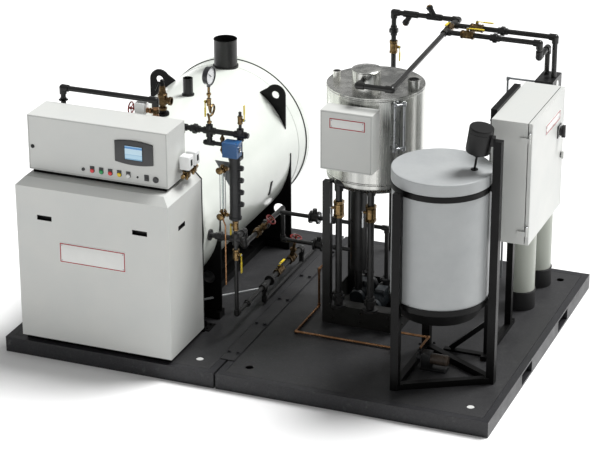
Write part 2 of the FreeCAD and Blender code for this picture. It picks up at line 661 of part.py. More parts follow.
# ---- Water column, feedwater line and blowdown line ----------------------------------------------
def build_column():
    foot = Vector(COLUMN_X, COLUMN_Y, COLUMN_BOTTOM)
    top = Vector(COLUMN_X, COLUMN_Y, COLUMN_TOP)
    pieces = [rod(foot, top, COLUMN_RADIUS)]
    pieces.append(rod(foot, foot + Z * 14, COLUMN_RADIUS + 5))
    for drop in (75, 155, 235, 315):
        boss = top - Z * drop
        pieces.append(rod(boss, boss + X * (COLUMN_RADIUS + 16), 17))
        pieces.append(hexagon(boss + X * (COLUMN_RADIUS + 16), X, 26, 12))
    column = join(pieces)
    save(column, "water_column")

    head = box(COLUMN_X - 65, COLUMN_X + 34, COLUMN_Y - 44, COLUMN_Y + 34, COLUMN_TOP, COLUMN_TOP + 94)
    save(head, "level_control_head")

    steam_x = BOILER_X + RISER_OFFSET
    riser_z = BOILER_Z + math.sqrt(SHELL_RADIUS ** 2 - RISER_OFFSET ** 2) - 19
    cross = Vector(COLUMN_X + 12, MANIFOLD_Y, MANIFOLD_Z)
    gauge_cross = Vector(GAUGE_X, MANIFOLD_Y, MANIFOLD_Z)
    riser_foot = Vector(steam_x, MANIFOLD_Y, riser_z)
    upper = [pipe([riser_foot, Vector(steam_x, MANIFOLD_Y, MANIFOLD_Z), cross], PIPE)]
    upper.append(coupling(Vector(GAUGE_X - 96, MANIFOLD_Y, MANIFOLD_Z), X, PIPE))
    upper.append(bend(gauge_cross, [X, -X, Z, -Z], PIPE))
    upper.append(bend(cross, [X, -X, Z, -Z], PIPE))
    upper.append(hexagon(cross + X * 48, X, 30, 16))
    upper.append(rod(gauge_cross, gauge_cross + Z * 62, 12))
    upper.append(rod(cross, cross + Z * 150, 10))
    side_z = COLUMN_TOP - 28
    side_run = [cross, Vector(cross.x, MANIFOLD_Y, side_z), Vector(cross.x, COLUMN_Y, side_z)]
    upper.append(pipe(side_run, PIPE_SMALL))
    branch = gauge_cross - Z * 80
    upper.append(rod(gauge_cross, branch, PIPE_SMALL))
    upper.append(bend(branch, [X, -X, Z], PIPE_SMALL))
    upper.append(rod(branch - X * 40, branch + X * 100, PIPE_SMALL))
    upper_pipe = without_valves(join(upper)).cut(column).cut(shell_solid()).cut(head)

    lower_cross = Vector(COLUMN_X, COLUMN_Y, LOWER_NOZZLE_Z)
    nozzle = Vector(BOILER_X + SHELL_RADIUS - NOZZLE_LAP, COLUMN_Y, LOWER_NOZZLE_Z)
    feed_drop_y = COLUMN_Y + 130
    lower = [rod(nozzle, lower_cross, PIPE)]
    lower.append(rod(nozzle, nozzle + X * (NOZZLE_LAP + 12), 36))
    lower.append(coupling(lower_cross - X * 105, X, PIPE))
    lower.append(bend(lower_cross, [X, -X, Y, Z, -Z], PIPE))
    lower.append(hexagon(lower_cross + X * 48, X, 30, 16))
    lower.append(rod(lower_cross, foot, 12))
    run_end = Vector(COLUMN_X, 1700, BLOWDOWN_Z)
    elbow = Vector(COLUMN_X, COLUMN_Y, BLOWDOWN_Z)
    lower.append(pipe([lower_cross, elbow, run_end], PIPE_SMALL))
    lower.append(coupling(elbow + Y * 175, Y, PIPE_SMALL))
    drain_tee = Vector(COLUMN_X, 1045, BLOWDOWN_Z)
    lower.append(bend(drain_tee, [Y, -Y, -Z], PIPE))
    lower.append(rod(drain_tee, run_end, PIPE))
    lower.append(flange(drain_tee + Y * 95, Y, 34, 16))
    deck_z = DECK + 29
    lower.append(pipe([drain_tee, Vector(COLUMN_X, 1045, deck_z), Vector(COLUMN_X, 2120, deck_z)], PIPE_SMALL))
    lower.append(pipe([run_end - Y * 60, run_end, Vector(COLUMN_X, run_end.y, deck_z)], PIPE))
    lower_pipe = without_valves(join(lower)).cut(column).cut(shell_solid())

    feed_end = Vector(COLUMN_X, LOWER_RUN_Y, FEED_LINE_Z)
    feed = [pipe([lower_cross, Vector(COLUMN_X, feed_drop_y, LOWER_NOZZLE_Z),
                  Vector(COLUMN_X, feed_drop_y, FEED_LINE_Z), feed_end], PIPE)]
    feed.append(coupling(Vector(COLUMN_X, 1080, FEED_LINE_Z), Y, PIPE))
    feed_pipe = without_valves(join(feed)).cut(column)
    save(join([lower_pipe, feed_pipe]), "boiler_piping")
    save(upper_pipe, "column_manifold")

    glass_x = COLUMN_X - 83
    valve_low = Vector(glass_x, COLUMN_Y, BOILER_Z + 127)
    valve_high = Vector(glass_x, COLUMN_Y, BOILER_Z + 436)
    brass = [rod(valve_low, valve_high, 8)]
    for valve in (valve_low, valve_high):
        brass.append(hexagon(valve, Z, 30, 44))
        brass.append(rod(valve - Y * 52, valve, 8))
        brass.append(rod(valve - Y * 60, valve - Y * 48, 22))
        brass.append(rod(valve, valve + X * 60, 10))
    for angle in (60, 180, 300):
        a = math.radians(angle)
        offset = Vector(19 * math.cos(a), 19 * math.sin(a), 0)
        brass.append(rod(valve_low + offset + Z * 10, valve_high + offset - Z * 10, 3))
    for sign in (-1, 1):
        brass.append(rod(valve_low + Z * (sign * 18), valve_low + Z * (sign * 26), 24))
        brass.append(rod(valve_high + Z * (sign * 18), valve_high + Z * (sign * 26), 24))
    drain_z = valve_low.z - 44
    drain = Vector(glass_x + 35, COLUMN_Y - 50, drain_z)
    brass.append(pipe([valve_low, Vector(glass_x, COLUMN_Y, drain_z), drain, drain - Z * 410], 5.5))
    save(join(brass).cut(column), "gauge_glass")

    cock = branch + X * 86
    bronze = join([rod(cock - Z * 60, cock + Z * 62, 11), Part.makeSphere(16, cock + Z * 40),
                   Part.makeSphere(15, cock - Z * 44)])
    gauge_y = MANIFOLD_Y
    dial = Vector(GAUGE_X, gauge_y, MANIFOLD_Z + 360)
    turn = math.radians(DIAL_TURN)
    face = Vector(math.cos(turn), -math.sin(turn), 0)
    stem_top = dial - Z * 55
    loop = Vector(GAUGE_X, gauge_y, MANIFOLD_Z + 110)
    gauge = [rod(dial - face * 20, dial + face * 20, 61)]
    gauge.append(rod(Vector(GAUGE_X, gauge_y, MANIFOLD_Z + 60), stem_top, 9))
    gauge.append(Part.makeTorus(34, 7, loop + face * 14 + Vector(28, 0, 12), face))
    gauge.append(hexagon(stem_top - Z * 12, Z, 26, 24))
    gauge_solid = without_valves(join(gauge)).cut(upper_pipe)
    parts = [solid for solid in gauge_solid.Solids]
    bronze = bronze.cut(upper_pipe)
    save(separate(parts + list(bronze.Solids)), "pressure_gauge")


# ---- Feedwater tank ----------------------------------------------------------------------------
def tank_axis(z):
    return Vector(TANK_X, TANK_Y, z)


def dished(radius, bottom, top, fillet):
    solid = rod(tank_axis(bottom), tank_axis(top), radius)
    edges = [edge for edge in solid.Edges if abs(edge.BoundBox.ZMax - bottom) < 0.01]
    return solid.makeFillet(fillet, edges[:1])


def build_feed_tank():
    seam = TANK_BOTTOM + TANK_DISH + 20
    save(tube(tank_axis(seam), tank_axis(TANK_TOP - TANK_WALL), TANK_RADIUS, TANK_WALL), "feed_tank_shell")
    outer = dished(TANK_RADIUS, TANK_BOTTOM, seam, TANK_DISH)
    inner = dished(TANK_RADIUS - TANK_WALL, TANK_BOTTOM + TANK_WALL, seam + 30, TANK_DISH - TANK_WALL)
    save(outer.cut(inner), "feed_tank_bottom")

    dome_foot = Vector(TANK_X - 5, TANK_Y - 155, TANK_TOP - TANK_WALL)
    dome = rod(dome_foot, dome_foot + Z * (DOME_HEIGHT + TANK_WALL), DOME_RADIUS)
    hollow = rod(dome_foot - Z, dome_foot + Z * DOME_HEIGHT, DOME_RADIUS - TANK_WALL)
    top = [rod(tank_axis(TANK_TOP - TANK_WALL), tank_axis(TANK_TOP), TANK_RADIUS), dome]
    for x, radius, height in ((TANK_X - 250, 24, 55), (TANK_X + 256, 36.5, 62)):
        foot = Vector(x, TANK_Y - 25, TANK_TOP - TANK_WALL)
        top.append(rod(foot, foot + Z * (height + TANK_WALL), radius))
    lid = join(top).cut(hollow)
    for x, radius in ((TANK_X - 250, 20), (TANK_X + 256, 32)):
        foot = Vector(x, TANK_Y - 25, TANK_TOP)
        lid = lid.cut(rod(foot, foot + Z * 80, radius))
    save(lid, "feed_tank_top")

    envelope = dished(TANK_RADIUS, TANK_BOTTOM, seam, TANK_DISH).fuse(
        rod(tank_axis(seam), tank_axis(TANK_TOP), TANK_RADIUS))
    stand = []
    for x in (TANK_X - LEG_SPREAD, TANK_X + LEG_SPREAD):
        for y in (TANK_Y - LEG_SPREAD, TANK_Y + LEG_SPREAD):
            leg = box(x - LEG_SIZE / 2, x + LEG_SIZE / 2, y - LEG_SIZE / 2, y + LEG_SIZE / 2, DECK,
                      TANK_BOTTOM + 35)
            stand.append(leg.cut(envelope))
    reach = LEG_SPREAD + LEG_SIZE / 2
    wall = box(TANK_X - reach, TANK_X + reach, TANK_Y - reach, TANK_Y + reach, DECK, DECK + BASE_HEIGHT)
    inside = box(TANK_X - reach + BASE_PLATE, TANK_X + reach - BASE_PLATE, TANK_Y - reach + BASE_PLATE,
                 TANK_Y + reach - BASE_PLATE, DECK + BASE_PLATE, DECK + BASE_HEIGHT + 1)
    stand.append(wall.cut(inside))
    stand.append(box(TANK_X - reach, TANK_X + reach, TANK_Y - reach, TANK_Y - reach + 90,
                     DECK + BASE_HEIGHT - BASE_PLATE, DECK + BASE_HEIGHT))
    save(join(stand), "tank_stand")

    centre_x = TANK_X - 28
    box_z = TANK_BOTTOM + 204
    front = TANK_Y - TANK_RADIUS - 14 - TANK_BOX_DEPTH
    control = [box(centre_x - TANK_BOX_WIDTH / 2, centre_x + TANK_BOX_WIDTH / 2, front, front + TANK_BOX_DEPTH,
                   box_z, box_z + TANK_BOX_HEIGHT)]
    for z in (box_z + 60, box_z + TANK_BOX_HEIGHT - 60):
        control.append(box(centre_x - 110, centre_x + 110, front + TANK_BOX_DEPTH - 1, TANK_Y - 200,
                           z - 15, z + 15))
    save(join(control).cut(envelope), "tank_control_box")

    low = TANK_BOTTOM + 295
    high = TANK_BOTTOM + 620
    reach = TANK_RADIUS + 28
    gauge = []
    for angle in (-50, -39):
        a = math.radians(angle)
        place = Vector(TANK_X + reach * math.cos(a), TANK_Y + reach * math.sin(a), low)
        gauge.append(rod(place, place + Z * (high - low), 9))
    for z in (low + 20, high - 20):
        ends = []
        for angle in (-50, -39):
            a = math.radians(angle)
            ends.append(Vector(TANK_X + reach * math.cos(a), TANK_Y + reach * math.sin(a), z))
        gauge.append(rod(ends[0], ends[1], 8))
        a = math.radians(-44.5)
        outward = Vector(math.cos(a), math.sin(a), 0)
        middle = (ends[0] + ends[1]) * 0.5
        gauge.append(rod(middle, middle - outward * 60, 10))
    save(join(gauge).cut(envelope), "level_gauge")

    rail_top = DECK + BASE_HEIGHT
    stands = []
    for x, shift in ((BALL_VALVES[5][1].x, 50), (BALL_VALVES[6][1].x, 0)):
        y = SUCTION_Y
        bend_z = TANK_BOTTOM + 42
        foot = Vector(x, y, rail_top)
        end = Vector(x + shift, TANK_Y - 150, bend_z) if shift == 0 else Vector(x + 90, y, bend_z)
        points = [foot, Vector(x, y, bend_z), end]
        if shift:
            points.append(Vector(x + 90, TANK_Y - 150, bend_z))
        riser = pipe(points, PIPE_LARGE)
        riser = riser.fuse(flange(foot + Z * 8, Z, 50, 16))
        riser = riser.fuse(coupling(foot + Z * 60, Z, PIPE_LARGE))
        stands.extend(without_valves(riser).cut(envelope).Solids)
    return stands


def pump(x, volute_y, motor_length):
    z = DECK + BASE_PLATE + 95
    volute = Vector(x, volute_y, z)
    pieces = [rod(volute - Y * 28, volute + Y * 28, 72)]
    pieces.append(rod(volute - Y * motor_length, volute, 58))
    pieces.append(rod(volute - Y * (motor_length + 22), volute - Y * (motor_length - 4), 50))
    pieces.append(rod(volute, volute + Z * 100, 24))
    pieces.append(flange(volute + Z * 96, Z, 40, 14))
    for y in (volute_y - motor_length + 30, volute_y - 10):
        pieces.append(box(x - 50, x + 50, y - 14, y + 14, DECK + BASE_PLATE, z))
    pieces.append(box(x - 20, x + 45, volute_y - motor_length * 0.7, volute_y - motor_length * 0.35,
                      z + 40, z + 88))
    return join(pieces)


def build_pumps(suction_pipes):
    left_x = TANK_X - 105
    right_x = TANK_X + 45
    left_pump = pump(left_x, LOWER_RUN_Y, 200)
    right_pump = pump(right_x, UPPER_RUN_Y, 230)
    save(separate([left_pump, right_pump]), "feed_pumps")
    outlet_z = DECK + BASE_PLATE + 95 + 103
    upper_z = FEED_LINE_Z
    lower_z = DECK + 330
    upper = [pipe([Vector(COLUMN_X, UPPER_RUN_Y, upper_z), Vector(right_x, UPPER_RUN_Y, upper_z),
                   Vector(right_x, UPPER_RUN_Y, outlet_z)], PIPE_SMALL)]
    lower = [pipe([Vector(COLUMN_X, LOWER_RUN_Y, upper_z), Vector(COLUMN_X, LOWER_RUN_Y, lower_z),
                   Vector(left_x, LOWER_RUN_Y, lower_z), Vector(left_x, LOWER_RUN_Y, outlet_z)], PIPE_SMALL)]
    for pieces, y, z in ((upper, UPPER_RUN_Y, upper_z), (lower, LOWER_RUN_Y, lower_z)):
        x = RIGHT_SKID_X + 150
        pieces.append(flange(Vector(x - 26, y, z), X, 42, 14))
        pieces.append(flange(Vector(x + 26, y, z), X, 42, 14))
        pieces.append(rod(Vector(x - 30, y, z), Vector(x + 30, y, z), 30))
        pieces.append(rod(Vector(x, y, z), Vector(x, y, z + 58), 15))
        pieces.append(coupling(Vector(x + 130, y, z), X, PIPE_SMALL))
    feed_end = Vector(COLUMN_X, LOWER_RUN_Y, FEED_LINE_Z)
    feed_line = rod(feed_end - Y * 700, feed_end, PIPE)
    sump = Vector(left_x, TANK_Y, TANK_BOTTOM)
    header = rod(sump - Z * 640, sump, 56)
    header = header.fuse(rod(sump - Z * 860, sump, 25))
    header = header.fuse(flange(sump - Z * 40, Z, 68, 14))
    save(separate(suction_pipes + [join(upper).cut(feed_line), join(lower).cut(feed_line), header.cut(left_pump)]),
         "pump_piping")


# ---- Chemical tank -----------------------------------------------------------------------------
def chem_axis(z):
    return Vector(CHEM_X, CHEM_Y, z)


def chem_post(angle):
    a = math.radians(angle)
    return Vector(CHEM_X + CHEM_POST_CIRCLE * math.cos(a), CHEM_Y + CHEM_POST_CIRCLE * math.sin(a), DECK)


def build_chemical_tank():
    top = CHEM_TOP
    body = rod(chem_axis(CHEM_BOTTOM), chem_axis(top), CHEM_RADIUS)
    hollow = rod(chem_axis(CHEM_BOTTOM + CHEM_WALL), chem_axis(top + 1), CHEM_RADIUS - CHEM_WALL)
    save(body.cut(hollow), "chemical_tank")
    lid = rod(chem_axis(top), chem_axis(top + CHEM_LID_HEIGHT), CHEM_LID_RADIUS)
    edges = [edge for edge in lid.Edges if abs(edge.BoundBox.ZMin - top - CHEM_LID_HEIGHT) < 0.01]
    save(lid.makeFillet(7, edges[:1]), "chemical_tank_lid")

    stand = []
    heights = {0: DECK + 1575, 120: top - 10, 240: top - 10}
    half = CHEM_POST / 2
    for angle, height in heights.items():
        foot = chem_post(angle)
        stand.append(box(foot.x - half, foot.x + half, foot.y - half, foot.y + half, DECK, height))
    band_radius = CHEM_RADIUS + CHEM_BAND
    ring_foot = CHEM_BOTTOM - CHEM_RING
    stand.append(tube(chem_axis(top - 4 - CHEM_RING), chem_axis(top - 4), band_radius, CHEM_BAND - 0.5))
    shelf = rod(chem_axis(ring_foot), chem_axis(CHEM_BOTTOM), band_radius)
    stand.append(shelf.cut(rod(chem_axis(ring_foot - 1), chem_axis(CHEM_BOTTOM + 1), CHEM_RADIUS - 60)))
    cone_foot = chem_axis(ring_foot - CHEM_CONE)
    skirt = Part.makeCone(CHEM_RADIUS - 60, CHEM_RADIUS, CHEM_CONE, cone_foot, Z)
    inner = Part.makeCone(CHEM_RADIUS - 66, CHEM_RADIUS - 6, CHEM_CONE, cone_foot, Z)
    stand.append(skirt.cut(inner))
    for angle in heights:
        a = math.radians(angle)
        outward = Vector(math.cos(a), math.sin(a), 0)
        for z in (top - 4 - CHEM_RING, ring_foot):
            clip = Part.makeBox(CHEM_POST_CIRCLE - CHEM_RADIUS - 3, 30, CHEM_RING - 8,
                                Vector(CHEM_RADIUS + 3, -15, 4))
            stand.append(turned(clip, chem_axis(z), Z, outward))
    angles = list(heights)
    for first, second in zip(angles, angles[1:] + angles[:1]):
        a = chem_post(first)
        b = chem_post(second)
        along = direction(a, b)
        bar = Part.makeBox((b - a).Length, 40, 40, Vector(0, -20, 0))
        stand.append(turned(bar, a, Z, along))
    stand_shape = join(stand)
    body_envelope = rod(chem_axis(CHEM_BOTTOM), chem_axis(top), CHEM_RADIUS)
    lid_envelope = rod(chem_axis(top), chem_axis(top + CHEM_LID_HEIGHT), CHEM_LID_RADIUS)
    stand_shape = stand_shape.cut(body_envelope).cut(lid_envelope)
    save(stand_shape, "chemical_stand")

    post = chem_post(0)
    lid_top = top + CHEM_LID_HEIGHT
    foot = Vector(CHEM_X + 193, CHEM_Y + 20, lid_top)
    centre = Vector(post.x - half - MIXER_RADIUS - 18, CHEM_Y + 8, lid_top + 200)
    axis = direction(foot, centre)
    pieces = [rod(foot, centre, 7)]
    pieces.append(rod(centre - axis * (MIXER_LENGTH / 2), centre + axis * (MIXER_LENGTH / 2), MIXER_RADIUS))
    pieces.append(rod(centre - axis * (MIXER_LENGTH / 2 + 24), centre, 28))
    pieces.append(box(centre.x, post.x - half, CHEM_Y - 20, CHEM_Y + 20, centre.z - 30, centre.z + 30))
    save(join(pieces).cut(lid), "mixer")

    head = dosing_head()
    pump_x = head.x + 62
    body = [box(pump_x - 50, pump_x + 60, head.y - 40, head.y + 40, DECK, DECK + 18)]
    body.append(box(pump_x - 45, pump_x + 15, head.y - 38, head.y + 38, DECK + 10, head.z + 40))
    body.append(rod(Vector(pump_x, head.y, head.z), Vector(pump_x + 120, head.y, head.z), 36))
    body.append(rod(Vector(pump_x - 80, head.y, head.z), Vector(pump_x, head.y, head.z), 26))
    body.append(rod(head - Z * 26, head + Z * 58, 11))
    save(join(body), "chemical_pump")


def dosing_head():
    """The middle of the chemical pump's liquid end."""
    return Vector(CHEM_X - 130, CHEM_Y + 45, DECK + 70)


def build_copper_lines():
    floor = DECK + 12
    left_x = RIGHT_SKID_X + 247
    right_x = CHEM_X - 340
    front_y = 713
    pump_inlet = dosing_head() + Z * 58
    points = [Vector(left_x, TANK_Y + 120, DECK + 275), Vector(left_x, 1125, DECK + 275),
              Vector(left_x, 1125, floor), Vector(left_x, front_y, floor), Vector(right_x, front_y, floor),
              Vector(right_x, front_y, pump_inlet.z), Vector(pump_inlet.x, front_y, pump_inlet.z), pump_inlet]
    pump_head = rod(dosing_head(), pump_inlet, 11)
    save(pipe(points, COPPER).cut(pump_head), "copper_line")


# ---- Electrical enclosure ----------------------------------------------------------------------
def hinge_zones():
    low = PANEL_Z + 90
    high = PANEL_Z + PANEL_HEIGHT - 90
    return (low, high)


def hinge_axis(z):
    return Vector(SKID_LENGTH - DOOR_THICKNESS / 2, PANEL_FRONT_Y - HINGE_OFFSET, z)


def build_enclosure():
    x1 = PANEL_X + PANEL_DEPTH
    y1 = PANEL_FRONT_Y + PANEL_WIDTH
    z1 = PANEL_Z + PANEL_HEIGHT
    body = box(PANEL_X, x1, PANEL_FRONT_Y, y1, PANEL_Z, z1)
    body = body.cut(box(PANEL_X + PANEL_WALL, x1 + 1, PANEL_FRONT_Y + PANEL_WALL, y1 - PANEL_WALL,
                        PANEL_Z + PANEL_WALL, z1 - PANEL_WALL))
    pieces = [body]
    for z in hinge_zones():
        axis = hinge_axis(z)
        pieces.append(rod(axis - Z * 30, axis, HINGE_RADIUS))
        pieces.append(rod(axis - Z * 1, axis + Z * 26, HINGE_PIN))
        pieces.append(box(x1 - 40, axis.x, PANEL_FRONT_Y - HINGE_OFFSET, PANEL_FRONT_Y - 5, z - 30, z))
        pieces.append(box(x1 - 40, x1 - 1, PANEL_FRONT_Y - HINGE_OFFSET, PANEL_FRONT_Y + 1, z - 30, z))
    save(join(pieces), "enclosure_body")

    door_x = SKID_LENGTH - DOOR_THICKNESS
    door = box(door_x, SKID_LENGTH, PANEL_FRONT_Y, y1, PANEL_Z, z1)
    door = door.cut(box(door_x - 1, SKID_LENGTH - DOOR_SKIN, PANEL_FRONT_Y + DOOR_SKIN, y1 - DOOR_SKIN,
                        PANEL_Z + DOOR_SKIN, z1 - DOOR_SKIN))
    leaves = [door]
    for z in hinge_zones():
        axis = hinge_axis(z + HUB_GAP)
        knuckle = rod(axis, axis + Z * 30, HINGE_RADIUS)
        knuckle = knuckle.fuse(box(axis.x - 3, axis.x + 3, axis.y, PANEL_FRONT_Y + 1, axis.z, axis.z + 30))
        leaves.append(knuckle.cut(rod(axis - Z, axis + Z * 28, HINGE_PIN + STEM_CLEARANCE)))
    handle_y, handle_z = disconnect_place()
    boss = rod(Vector(door_x + 4, handle_y, handle_z), Vector(SKID_LENGTH + 8, handle_y, handle_z), 34)
    leaves.append(boss)
    latch_y = y1 - 42
    latch_z = PANEL_Z + 347
    leaves.append(rod(Vector(door_x + 6, latch_y, latch_z), Vector(SKID_LENGTH + 10, latch_y, latch_z), 14))
    leaves.append(box(SKID_LENGTH + 6, SKID_LENGTH + 20, latch_y - 7, latch_y + 7, latch_z - 24, latch_z + 24))
    door = join(leaves)
    bore = rod(Vector(SKID_LENGTH - 8, handle_y, handle_z), Vector(SKID_LENGTH + 9, handle_y, handle_z),
               STEM_RADIUS + STEM_CLEARANCE)
    save(door.cut(bore), "enclosure_door")

    x0 = SKID_LENGTH + 8
    grip = [rod(Vector(SKID_LENGTH - 7, handle_y, handle_z), Vector(x0 + 20, handle_y, handle_z), STEM_RADIUS)]
    grip.append(rod(Vector(x0 + HUB_GAP, handle_y, handle_z), Vector(x0 + 14, handle_y, handle_z), 30))
    grip.append(box(x0 + 12, x0 + 34, handle_y - 10, handle_y + 10, handle_z - 38, handle_z + 38))
    save(join(grip), "disconnect_handle")

    rack_x = PANEL_X - RACK_TUBE
    rack_top = z1 + 19
    rack = []
    ends = (PANEL_FRONT_Y + 110, PANEL_FRONT_Y + 556)
    for y in ends:
        rack.append(box(rack_x, PANEL_X, y, y + RACK_TUBE, DECK, rack_top))
    rack.append(box(rack_x, PANEL_X, ends[0], ends[1] + RACK_TUBE, rack_top - RACK_TUBE, rack_top))
    rack.append(box(rack_x, PANEL_X, ends[0], ends[1] + RACK_TUBE, PANEL_Z - 30, PANEL_Z + 10))
    rack.append(box(rack_x, PANEL_X, ends[0] - 60, ends[1] + RACK_TUBE + 60, DECK, DECK + 30))
    brace = Part.makeBox(330, RACK_TUBE - 8, 30, Vector(0, -RACK_TUBE / 2 + 4, -30))
    start = Vector(rack_x - 225, ends[0] + RACK_TUBE / 2, DECK + 30)
    rack.append(turned(brace, start, Vector(-0.68, 0, 0.733), Vector(0.733, 0, 0.68)))
    rack.append(box(rack_x - 260, rack_x, ends[0], ends[0] + RACK_TUBE, DECK, DECK + 12))
    save(join(rack), "enclosure_rack")


def disconnect_place():
    return (PANEL_FRONT_Y + 596, PANEL_Z + 527)


# ---- Softeners and upper piping ------------------------------------------------------------------
def build_softeners():
    tanks = []
    boots = []
    for y in SOFTENER_Y:
        foot = Vector(SOFTENER_X, y, DECK)
        tank = rod(foot + Z * BOOT_WALL, foot + Z * SOFTENER_HEIGHT, SOFTENER_RADIUS)
        edges = [edge for edge in tank.Edges if abs(edge.BoundBox.ZMin - DECK - SOFTENER_HEIGHT) < 0.01]
        tanks.append(tank.makeFillet(70, edges[:1]))
        boot = rod(foot, foot + Z * BOOT_HEIGHT, SOFTENER_RADIUS + BOOT_WALL)
        boots.append(boot.cut(rod(foot + Z * BOOT_WALL, foot + Z * (BOOT_HEIGHT + 1), SOFTENER_RADIUS)))
    save(separate(tanks), "softener_tanks")
    save(separate(boots), "softener_boots")

    top = DECK + SOFTENER_HEIGHT
    valve = [rod(Vector(SOFTENER_X, SOFTENER_Y[1], top - 4), Vector(SOFTENER_X, SOFTENER_Y[1], top + 60), 44)]
    valve.append(box(SOFTENER_X - 50, SOFTENER_X + 70, SOFTENER_Y[1] - 60, SOFTENER_Y[1] + 150,
                     top + 55, top + 150))
    valve.append(rod(Vector(SOFTENER_X, SOFTENER_Y[0], top - 4), Vector(SOFTENER_X, SOFTENER_Y[0], top + 46),
                     44))
    cross_z = top + 80
    valve.append(pipe([Vector(SOFTENER_X, SOFTENER_Y[0], top), Vector(SOFTENER_X, SOFTENER_Y[0], cross_z),
                       Vector(SOFTENER_X, SOFTENER_Y[1], cross_z)], PIPE_SMALL))
    valve_shape = join(valve).cut(tanks[0]).cut(tanks[1])
    save(valve_shape, "softener_valve")

    valve_top = top + 150
    inlet = Vector(INLET_X, INLET_Y, HEADER_Z)
    corner = Vector(HEADER_X, INLET_Y, HEADER_Z)
    soft_tee = Vector(HEADER_X, SOFT_Y, HEADER_Z)
    hard_tee = Vector(HEADER_X, HARD_Y, HEADER_Z)
    hard_end = Vector(SOFTENER_X + 45, HARD_Y, HEADER_Z)
    soft_end = Vector(SOFTENER_X - 15, SOFT_Y, HEADER_Z)
    drop_z = HEADER_Z - 92
    tank_end = Vector(HEADER_X, TANK_Y - TANK_RADIUS - 2, TANK_TOP + 82)
    dome_x = TANK_X - 5
    dome_side = Vector(dome_x, TANK_Y - 155, tank_end.z)
    piping = [pipe([Vector(INLET_X, INLET_Y, DECK), inlet, corner, soft_tee], PIPE)]
    piping.append(pipe([soft_tee, tank_end, Vector(dome_x, tank_end.y, tank_end.z), dome_side], PIPE))
    piping.append(bend(soft_tee, [X, -Y, Y], PIPE))
    piping.append(bend(hard_tee, [X, -Y, Y], PIPE))
    piping.append(pipe([hard_tee, hard_end, Vector(hard_end.x, HARD_Y, valve_top - 2)], PIPE))
    drop = Vector(soft_end.x, SOFT_Y, drop_z)
    back = Vector(soft_end.x, SOFT_Y + 199, drop_z)
    piping.append(pipe([soft_tee, soft_end, drop, back, Vector(back.x, back.y, valve_top - 2)], PIPE))
    piping.append(coupling(hard_tee + X * 340, X, PIPE))
    piping.append(coupling(soft_tee + X * 334, X, PIPE))
    piping.append(coupling(inlet - Z * 125, Z, PIPE))
    for x, tilt in ((INLET_X + 118, Vector(-0.5, 0, -0.866)), (INLET_X + 281, Vector(-0.5, 0, 0.866))):
        place = Vector(x, INLET_Y, HEADER_Z)
        piping.append(rod(place - X * 50, place + X * 50, PIPE * FITTING))
        piping.append(rod(place, place + tilt * 78, PIPE * 1.1))
        piping.append(rod(place + tilt * 60, place + tilt * 80, PIPE * FITTING))
    whole = join(piping)
    dome = rod(Vector(dome_x, TANK_Y - 155, TANK_TOP), Vector(dome_x, TANK_Y - 155, TANK_TOP + DOME_HEIGHT),
               DOME_RADIUS)
    whole = whole.cut(dome).cut(valve_shape)
    whole = without_valves(whole)
    save(separate(whole.Solids), "water_piping")

    start = Vector(SOFTENER_X - 50, SOFTENER_Y[1] + 10, top + 118)
    away = Vector(SOFTENER_X - 250, SOFTENER_Y[1] + 10, top + 118)
    conduit = pipe([start, away, Vector(away.x, away.y, DECK)], 7)
    save(conduit, "drain_line")


build_skids()
build_boiler()
build_burner()
build_column()
build_pumps(build_feed_tank())
build_chemical_tank()
build_copper_lines()
build_enclosure()
build_softeners()
build_valves()
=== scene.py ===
import json
import math
import bmesh
import bpy
from mathutils import Matrix, Vector


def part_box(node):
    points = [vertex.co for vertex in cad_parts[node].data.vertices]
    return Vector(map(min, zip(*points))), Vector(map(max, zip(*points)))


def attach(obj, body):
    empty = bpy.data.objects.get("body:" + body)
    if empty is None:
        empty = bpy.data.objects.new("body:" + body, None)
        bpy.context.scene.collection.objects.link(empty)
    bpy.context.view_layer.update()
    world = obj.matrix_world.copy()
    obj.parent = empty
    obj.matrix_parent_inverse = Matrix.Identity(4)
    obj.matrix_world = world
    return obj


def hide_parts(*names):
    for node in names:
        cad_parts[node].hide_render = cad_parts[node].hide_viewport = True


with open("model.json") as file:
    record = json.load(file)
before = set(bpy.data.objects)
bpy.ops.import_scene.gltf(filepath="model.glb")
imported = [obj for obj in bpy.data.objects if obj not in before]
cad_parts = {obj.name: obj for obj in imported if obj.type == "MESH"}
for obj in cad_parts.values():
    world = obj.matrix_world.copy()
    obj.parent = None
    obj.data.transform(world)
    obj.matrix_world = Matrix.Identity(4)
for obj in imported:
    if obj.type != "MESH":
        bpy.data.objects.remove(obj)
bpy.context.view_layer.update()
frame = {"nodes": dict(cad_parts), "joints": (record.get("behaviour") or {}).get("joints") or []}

# Two steel skids, side by side, carry the whole plant. Each is a ring of 4 in channel with a plate deck let
# into it, sprayed in charcoal enamel over mill scale, and a bolted strip covers the gap between the decks.


def linear(colour):
    """A screen colour such as #3A3A38 as the linear values that a shader takes."""
    parts = [int(colour[i:i + 2], 16) / 255 for i in (1, 3, 5)]
    return [p / 12.92 if p <= 0.04045 else ((p + 0.055) / 1.055) ** 2.4 for p in parts] + [1.0]


def add_node(material, kind, settings=None, **attributes):
    """One node in a material: attributes are its own, settings are its sockets' values or links."""
    node = material.node_tree.nodes.new("ShaderNode" + kind)
    for name, value in attributes.items():
        setattr(node, name, value)
    for name, value in (settings or {}).items():
        if isinstance(value, bpy.types.NodeSocket):
            material.node_tree.links.new(value, node.inputs[name])
        else:
            node.inputs[name].default_value = value
    return node


def new_finish(name):
    """An empty material and its shader."""
    material = bpy.data.materials.new(name)
    material.use_nodes = True
    shader = material.node_tree.nodes["Principled BSDF"]
    return material, shader


